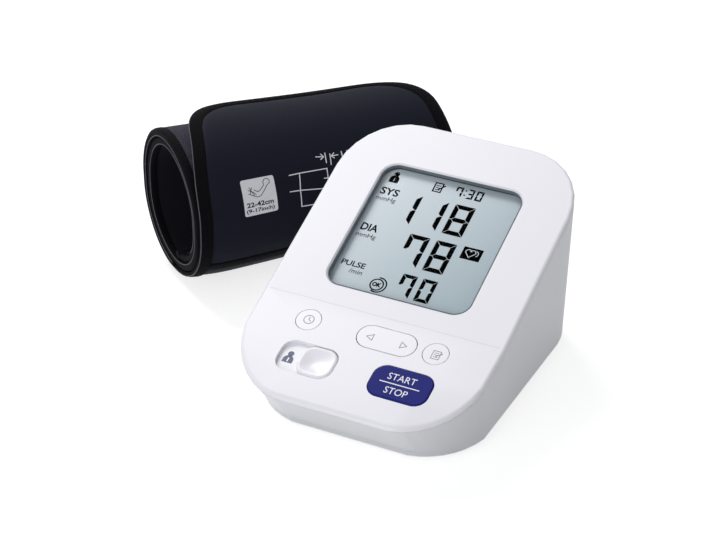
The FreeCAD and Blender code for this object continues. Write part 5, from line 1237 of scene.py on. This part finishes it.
def bend_at_hinge(piece):
    """Bakes the piece's place into its mesh; the hinge where the free end peels off the roll is worked out, but
    the piece is not bent.
    """
    axis = Vector(JOINTS["cuff_free_end_peel"]["axis"]).normalized()
    middle = (PANEL_LEFT + CUFF_LENGTH) / 2
    low, centre, high = [on_panel(HINGE_LENGTH + reach, middle, PANEL_THICK / 2)
                         for reach in (-BEND, 0, BEND)]
    run = high - low
    run -= axis * run.dot(axis)
    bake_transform(piece)


def fine_line(points):
    """The same line with more points, so that it follows a curved face."""
    filled = []
    for start, end in zip(points, points[1:]):
        start, end = Vector(start), Vector(end)
        shares = steps(0, 1, pitch=1.5 / (end - start).length)
        filled += [tuple(start.lerp(end, share)) for share in shares[:-1]]
    return filled + [points[-1]]


# Lines of the fitting diagram and of the arm on the size label: (along the roll, up the cloth).
DIAGRAM = [
    [(46.3, 74.3), (51.5, 74.4)], [(45.3, 66.7), (50.5, 66.4), (62.4, 64.9)],
    [(64.7, 68.4), (65.2, 74.1), (51.5, 74.4), (50.5, 66.4), (50.4, 58.4), (58.5, 58.0), (58.5, 59.8),
     (86.0, 59.0)],
    [(62.8, 69.7), (68.4, 69.2), (86.0, 69.0), (86.0, 59.0)], [(66.1, 81.7), (65.6, 76.6)],
    [(68.4, 80.9), (67.7, 75.3)], [(61.1, 80.5), (65.0, 79.9)], [(63.8, 81.5), (65.0, 79.9), (63.2, 78.7)],
    [(72.3, 79.5), (68.8, 79.6)], [(70.5, 80.9), (68.8, 79.6), (70.1, 78.2)], [(90.0, 72.0), (110.0, 72.0)],
    [(90.0, 58.4), (110.0, 58.4)], [(92.0, 65.2), (107.0, 65.2)],
]
LABEL_ARM = [
    [(35.5, 75.1), (36.5, 74.2), (36.3, 72.9), (35.1, 72.1), (33.3, 70.0), (31.3, 67.8), (29.5, 67.6),
     (27.5, 68.6), (25.5, 69.7)],
    [(35.5, 75.1), (34.1, 74.9), (33.3, 73.7), (33.4, 72.4), (31.5, 70.5), (30.1, 69.9), (28.3, 71.1)],
    [(25.5, 71.4), (27.9, 70.0), (29.2, 68.7)], [(26.3, 72.5), (27.2, 70.4), (28.3, 68.5)],
    [(27.5, 72.3), (26.3, 69.4)],
]


def cuff_prints():
    """Generic size mark and fitting diagram on the panel's face."""
    light = Print(panel_place)
    for line in DIAGRAM:
        light.line(fine_line(line), width=0.46)
    light.words("1-2cm", 73.8, 83.2, 78.2, 81.0, 0.02)
    bend_at_hinge(light.finish("cuff_diagram", "cuff_light_ink"))
    label = Print(panel_place)
    label_plate(label, left=22.7, right=38.8, low=59.3, high=76.1, corner=1.0)
    bend_at_hinge(label.finish("cuff_size_label", "cuff_label_ink"))
    dark = Print(raised(panel_place, INK_OVER))
    dark.words("22-42cm", 24.0, 37.0, 63.3, 65.6, 0.03)
    dark.words("(9-17inch)", 23.6, 37.2, 60.2, 62.6, 0.025)
    for line in LABEL_ARM:
        dark.line(fine_line(line), width=0.3)
    bend_at_hinge(dark.finish("cuff_size_lettering", "cuff_dark_ink"))


def label_plate(print_, left, right, low, high, corner):
    """A plate with rounded corners, in rows fine enough to follow the roll."""
    columns = 10
    heights = [low, low + corner * 0.13, low + corner * 0.5] + steps(low + corner, high - corner, pitch=1.4)
    heights += [high - corner * 0.5, high - corner * 0.13, high]
    rings = []
    for height in heights:
        drop = max(low + corner - height, height - high + corner, 0)
        inset = corner - math.sqrt(max(corner ** 2 - drop ** 2, 0))
        wide = right - left - 2 * inset
        row = [(left + inset + wide * i / columns, height) for i in range(columns + 1)]
        rings.append(print_.corners(row, print_.over) + print_.corners(row[::-1], print_.under))
    print_.tube(rings)


# --- stitches and hooks -------------------------------------------------------

class Growth:
    """A Geometry Nodes tree that lays one small shape on every point of a line or a field."""

    def __init__(self, name, source, sizes):
        self.tree = bpy.data.node_groups.new(name, "GeometryNodeTree")
        self.socket(source, "NodeSocketGeometry")
        for label, value in sizes.items():
            self.socket(label, "NodeSocketFloat").default_value = value * MM
        self.socket("Finish", "NodeSocketMaterial")
        self.tree.interface.new_socket("Shapes", in_out="OUTPUT", socket_type="NodeSocketGeometry")
        self.entry = self.add("NodeGroupInput").outputs

    def socket(self, label, kind):
        return self.tree.interface.new_socket(label, in_out="INPUT", socket_type=kind)

    def add(self, kind, inputs=None, **settings):
        return add_node(self.tree, kind, inputs, settings)

    def turned(self, way, axis):
        """Turns that point a shape's own axis along some vectors."""
        return self.add("FunctionNodeAlignRotationToVector", {"Vector": way}, axis=axis).outputs["Rotation"]

    def finish(self, points, shape, rotation, scale=(1, 1, 1)):
        laid_out = self.add("GeometryNodeInstanceOnPoints", {
            "Points": points, "Instance": shape, "Rotation": rotation, "Scale": scale})
        real = self.add("GeometryNodeRealizeInstances", {"Geometry": laid_out.outputs["Instances"]})
        coated = self.add("GeometryNodeSetMaterial", {
            "Geometry": real.outputs["Geometry"], "Material": self.entry["Finish"]})
        self.add("NodeGroupOutput", {"Shapes": coated.outputs["Geometry"]})
        return self.tree


def stitch_tree():
    """Stitches along a line: evenly spaced short thread beads, turned along it."""
    grow = Growth("stitch_row", "Line", {"Pitch": STITCH_PITCH, "Stitch": 2.0, "Thread": 0.34})
    line = grow.add("GeometryNodeMeshToCurve", {"Mesh": grow.entry["Line"]}).outputs["Curve"]
    spaced = grow.add("GeometryNodeResampleCurve", {
        "Curve": line, "Length": grow.entry["Pitch"]}, mode="LENGTH")
    turned = grow.turned(grow.add("GeometryNodeInputTangent").outputs["Tangent"], "X")
    bead = grow.add("GeometryNodeMeshUVSphere", {"Segments": 6, "Rings": 5, "Radius": 0.5}).outputs["Mesh"]
    size = grow.add("ShaderNodeCombineXYZ", {
        "X": grow.entry["Stitch"], "Y": grow.entry["Thread"], "Z": grow.entry["Thread"]}).outputs["Vector"]
    return grow.finish(spaced.outputs["Curve"], bead, turned, size)


def hook_tree():
    """Hooks on a field: a short tapered stem on every point, turned out of the face."""
    grow = Growth("hook_field", "Field", {"Height": 0.6, "Foot": 0.34, "Tip": 0.16})
    turned = grow.turned(grow.add("GeometryNodeInputNormal").outputs["Normal"], "Z")
    stem = grow.add("GeometryNodeMeshCone", {
        "Vertices": 5, "Radius Top": grow.entry["Tip"], "Radius Bottom": grow.entry["Foot"],
        "Depth": grow.entry["Height"]})
    return grow.finish(grow.entry["Field"], stem.outputs["Mesh"], turned)


def repeated(name, tree, points, edges, faces, finish, body):
    """A tree's shapes on points in the frame, as a plain mesh."""
    mesh = bpy.data.meshes.new("points")
    mesh.from_pydata(points, edges, faces)
    holder = in_scene("points", mesh)
    modifier = holder.modifiers.new("shapes", "NODES")
    modifier.node_group = tree
    item = next(item for item in tree.interface.items_tree if item.name == "Finish")
    modifier[item.identifier] = FINISHES[finish]
    grown = taken_mesh(holder)
    grown.shade_smooth()
    return add_piece(name, grown, finish, body)


def stitch_row(name, tree, points, body=None):
    """Stitches along one line of points."""
    edges = [(i, i + 1) for i in range(len(points) - 1)]
    return repeated(name, tree, points, edges, [], "stitching_thread", body)


def stitching():
    """Rows of stitches round the panel's border and along both edges of the strip."""
    tree = stitch_tree()
    outline = panel_outline(BORDER_WIDE - STITCH_INSET)
    row = [on_panel(point.y, point.x, -STITCH_PROUD) for point in outline + outline[:1]]
    bend_at_hinge(stitch_row("panel_border_stitches", tree, row))
    inset = BINDING_WIDE - EDGE_STITCH_INSET
    for side, along in (("left", inset), ("right", CUFF_LENGTH - inset)):
        row = [on_strip(length, along, -EDGE_STITCH_PROUD)
               for length in steps(2, STRIP_PATH.length - 2, pitch=2.0)]
        stitch_row(side + "_edge_stitches", tree, row, "cuff")


def cuff():
    """The rolled strip and the panel over it, with all that is sewn to them."""
    outer = layer("cuff_outer_loop_cloth", 0.1, CLOTH_THICK, "cuff_loop")
    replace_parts(outer, "cuff_outer_cloth")
    inner = layer("cuff_inner_lining", STRIP_THICK - CLOTH_THICK, STRIP_THICK - 0.1, "cuff_cloth")
    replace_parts(inner, "cuff_lining")
    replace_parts(bound_edge("cuff_left_binding", True), "cuff_edge_binding")
    bound_edge("cuff_right_binding", False)
    inner_end()
    panel_border()
    panel_face()
    panel_seam()
    piping_and_fold_highlights()
    hook_pad()
    cuff_prints()
    stitching()


# --- stage --------------------------------------------------------------------

def seen_directly(tree):
    """1 for what the camera sees, straight or in gloss and glass, and 0 for light on the object."""
    path = tree.add("LightPath").outputs
    first = tree.math("MAXIMUM", path["Is Camera Ray"], path["Is Glossy Ray"])
    return tree.math("MAXIMUM", first, path["Is Transmission Ray"])


def floor():
    """A white floor that keeps the shadow near the object and fades to pure white away from it."""
    half = 3.0
    corners = [(-half, -half, 0), (half, -half, 0), (half, half, 0), (-half, half, 0)]
    mesh = bpy.data.meshes.new("floor")
    mesh.from_pydata(corners, [], [(0, 1, 2, 3)])
    material = bpy.data.materials.new("floor_white")
    material.use_nodes = True
    tree = Tree(material.node_tree)
    material.node_tree.nodes.remove(material.node_tree.nodes["Principled BSDF"])
    shown = tree.add("BsdfDiffuse", {"Color": (0.5, 0.5, 0.5, 1)})
    lifted = tree.add("Emission", {"Color": WHITE, "Strength": 0.74})
    near = tree.add("AddShader", {0: shown.outputs[0], 1: lifted.outputs[0]})
    white = tree.add("Emission", {"Color": WHITE, "Strength": 1.0})
    place = tree.add("TexCoord").outputs["Object"]
    distance = tree.add("VectorMath", {0: place}, operation="LENGTH").outputs["Value"]
    fade = tree.add("MapRange", {"Value": distance, "From Min": 0.3, "From Max": 0.9}).outputs[0]
    pale = tree.add("MixShader", {0: fade, 1: near.outputs[0], 2: white.outputs[0]})
    bounced = tree.add("BsdfDiffuse", {"Color": (0.72, 0.72, 0.73, 1)})
    mixed = tree.add("MixShader", {0: seen_directly(tree), 1: bounced.outputs[0], 2: pale.outputs[0]})
    tree.tree.links.new(mixed.outputs[0], tree.tree.nodes["Material Output"].inputs["Surface"])
    mesh.materials.append(material)
    in_scene("floor", mesh)


def white_surroundings():
    """White where the camera sees it, softer as a light."""
    world = bpy.data.worlds.new("studio")
    world.use_nodes = True
    bpy.context.scene.world = world
    tree = Tree(world.node_tree)
    world.node_tree.nodes.remove(world.node_tree.nodes["Background"])
    soft = tree.add("Background", {"Color": (0.96, 0.98, 1.0, 1), "Strength": 0.38})
    white = tree.add("Background", {"Color": WHITE, "Strength": 1.0})
    mixed = tree.add("MixShader", {0: seen_directly(tree), 1: soft.outputs[0], 2: white.outputs[0]})
    world.node_tree.links.new(mixed.outputs[0], world.node_tree.nodes["World Output"].inputs["Surface"])


def aimed(name, data, place, gaze):
    """A lamp or a camera that looks along a direction."""
    thing = in_scene(name, data)
    thing.location = place
    thing.rotation_mode = "QUATERNION"
    thing.rotation_quaternion = gaze.to_track_quat("-Z", "Y")
    return thing


def softbox(name, place, target, size, power):
    """A square lamp, aimed."""
    light = bpy.data.lights.new(name, "AREA")
    light.size = size
    light.energy = power
    aimed(name, light, place, target - place)


def lights():
    """A large lamp behind on the left and a soft fill in front."""
    middle = CASE_MIDDLE + Vector((-0.03, 0, 0.03))
    softbox("key_light", middle + Vector((-0.75, 0.55, 1.15)), middle, 0.7, 11.0)
    softbox("front_fill", middle + Vector((-0.3, -1.4, 0.5)), middle, 0.9, 8.0)


def camera():
    """Three-quarter view from the right, above the keys."""
    azimuth, elevation = math.radians(26.457), math.radians(31.239)
    distance = 0.84383
    target = CASE_MIDDLE + Vector((-0.02625, 0.00797, 0.040))
    back = Vector((math.sin(azimuth) * math.cos(elevation), -math.cos(azimuth) * math.cos(elevation),
                   math.sin(elevation)))
    lens = bpy.data.cameras.new("camera")
    lens.lens = 101.36
    lens.sensor_width = 36.0
    lens.clip_start = 0.01
    bpy.context.scene.camera = aimed("camera", lens, target + back * distance, -back)


dress_packed_parts()
shells()
window_shade_lining()
switch_plate()
user_knob()
display_readings()
display_labels()
display_pictograms()
key_marks()
crease_line()
cuff()
floor()
white_surroundings()
lights()
camera()
bpy.context.scene.view_settings.view_transform = "Standard"
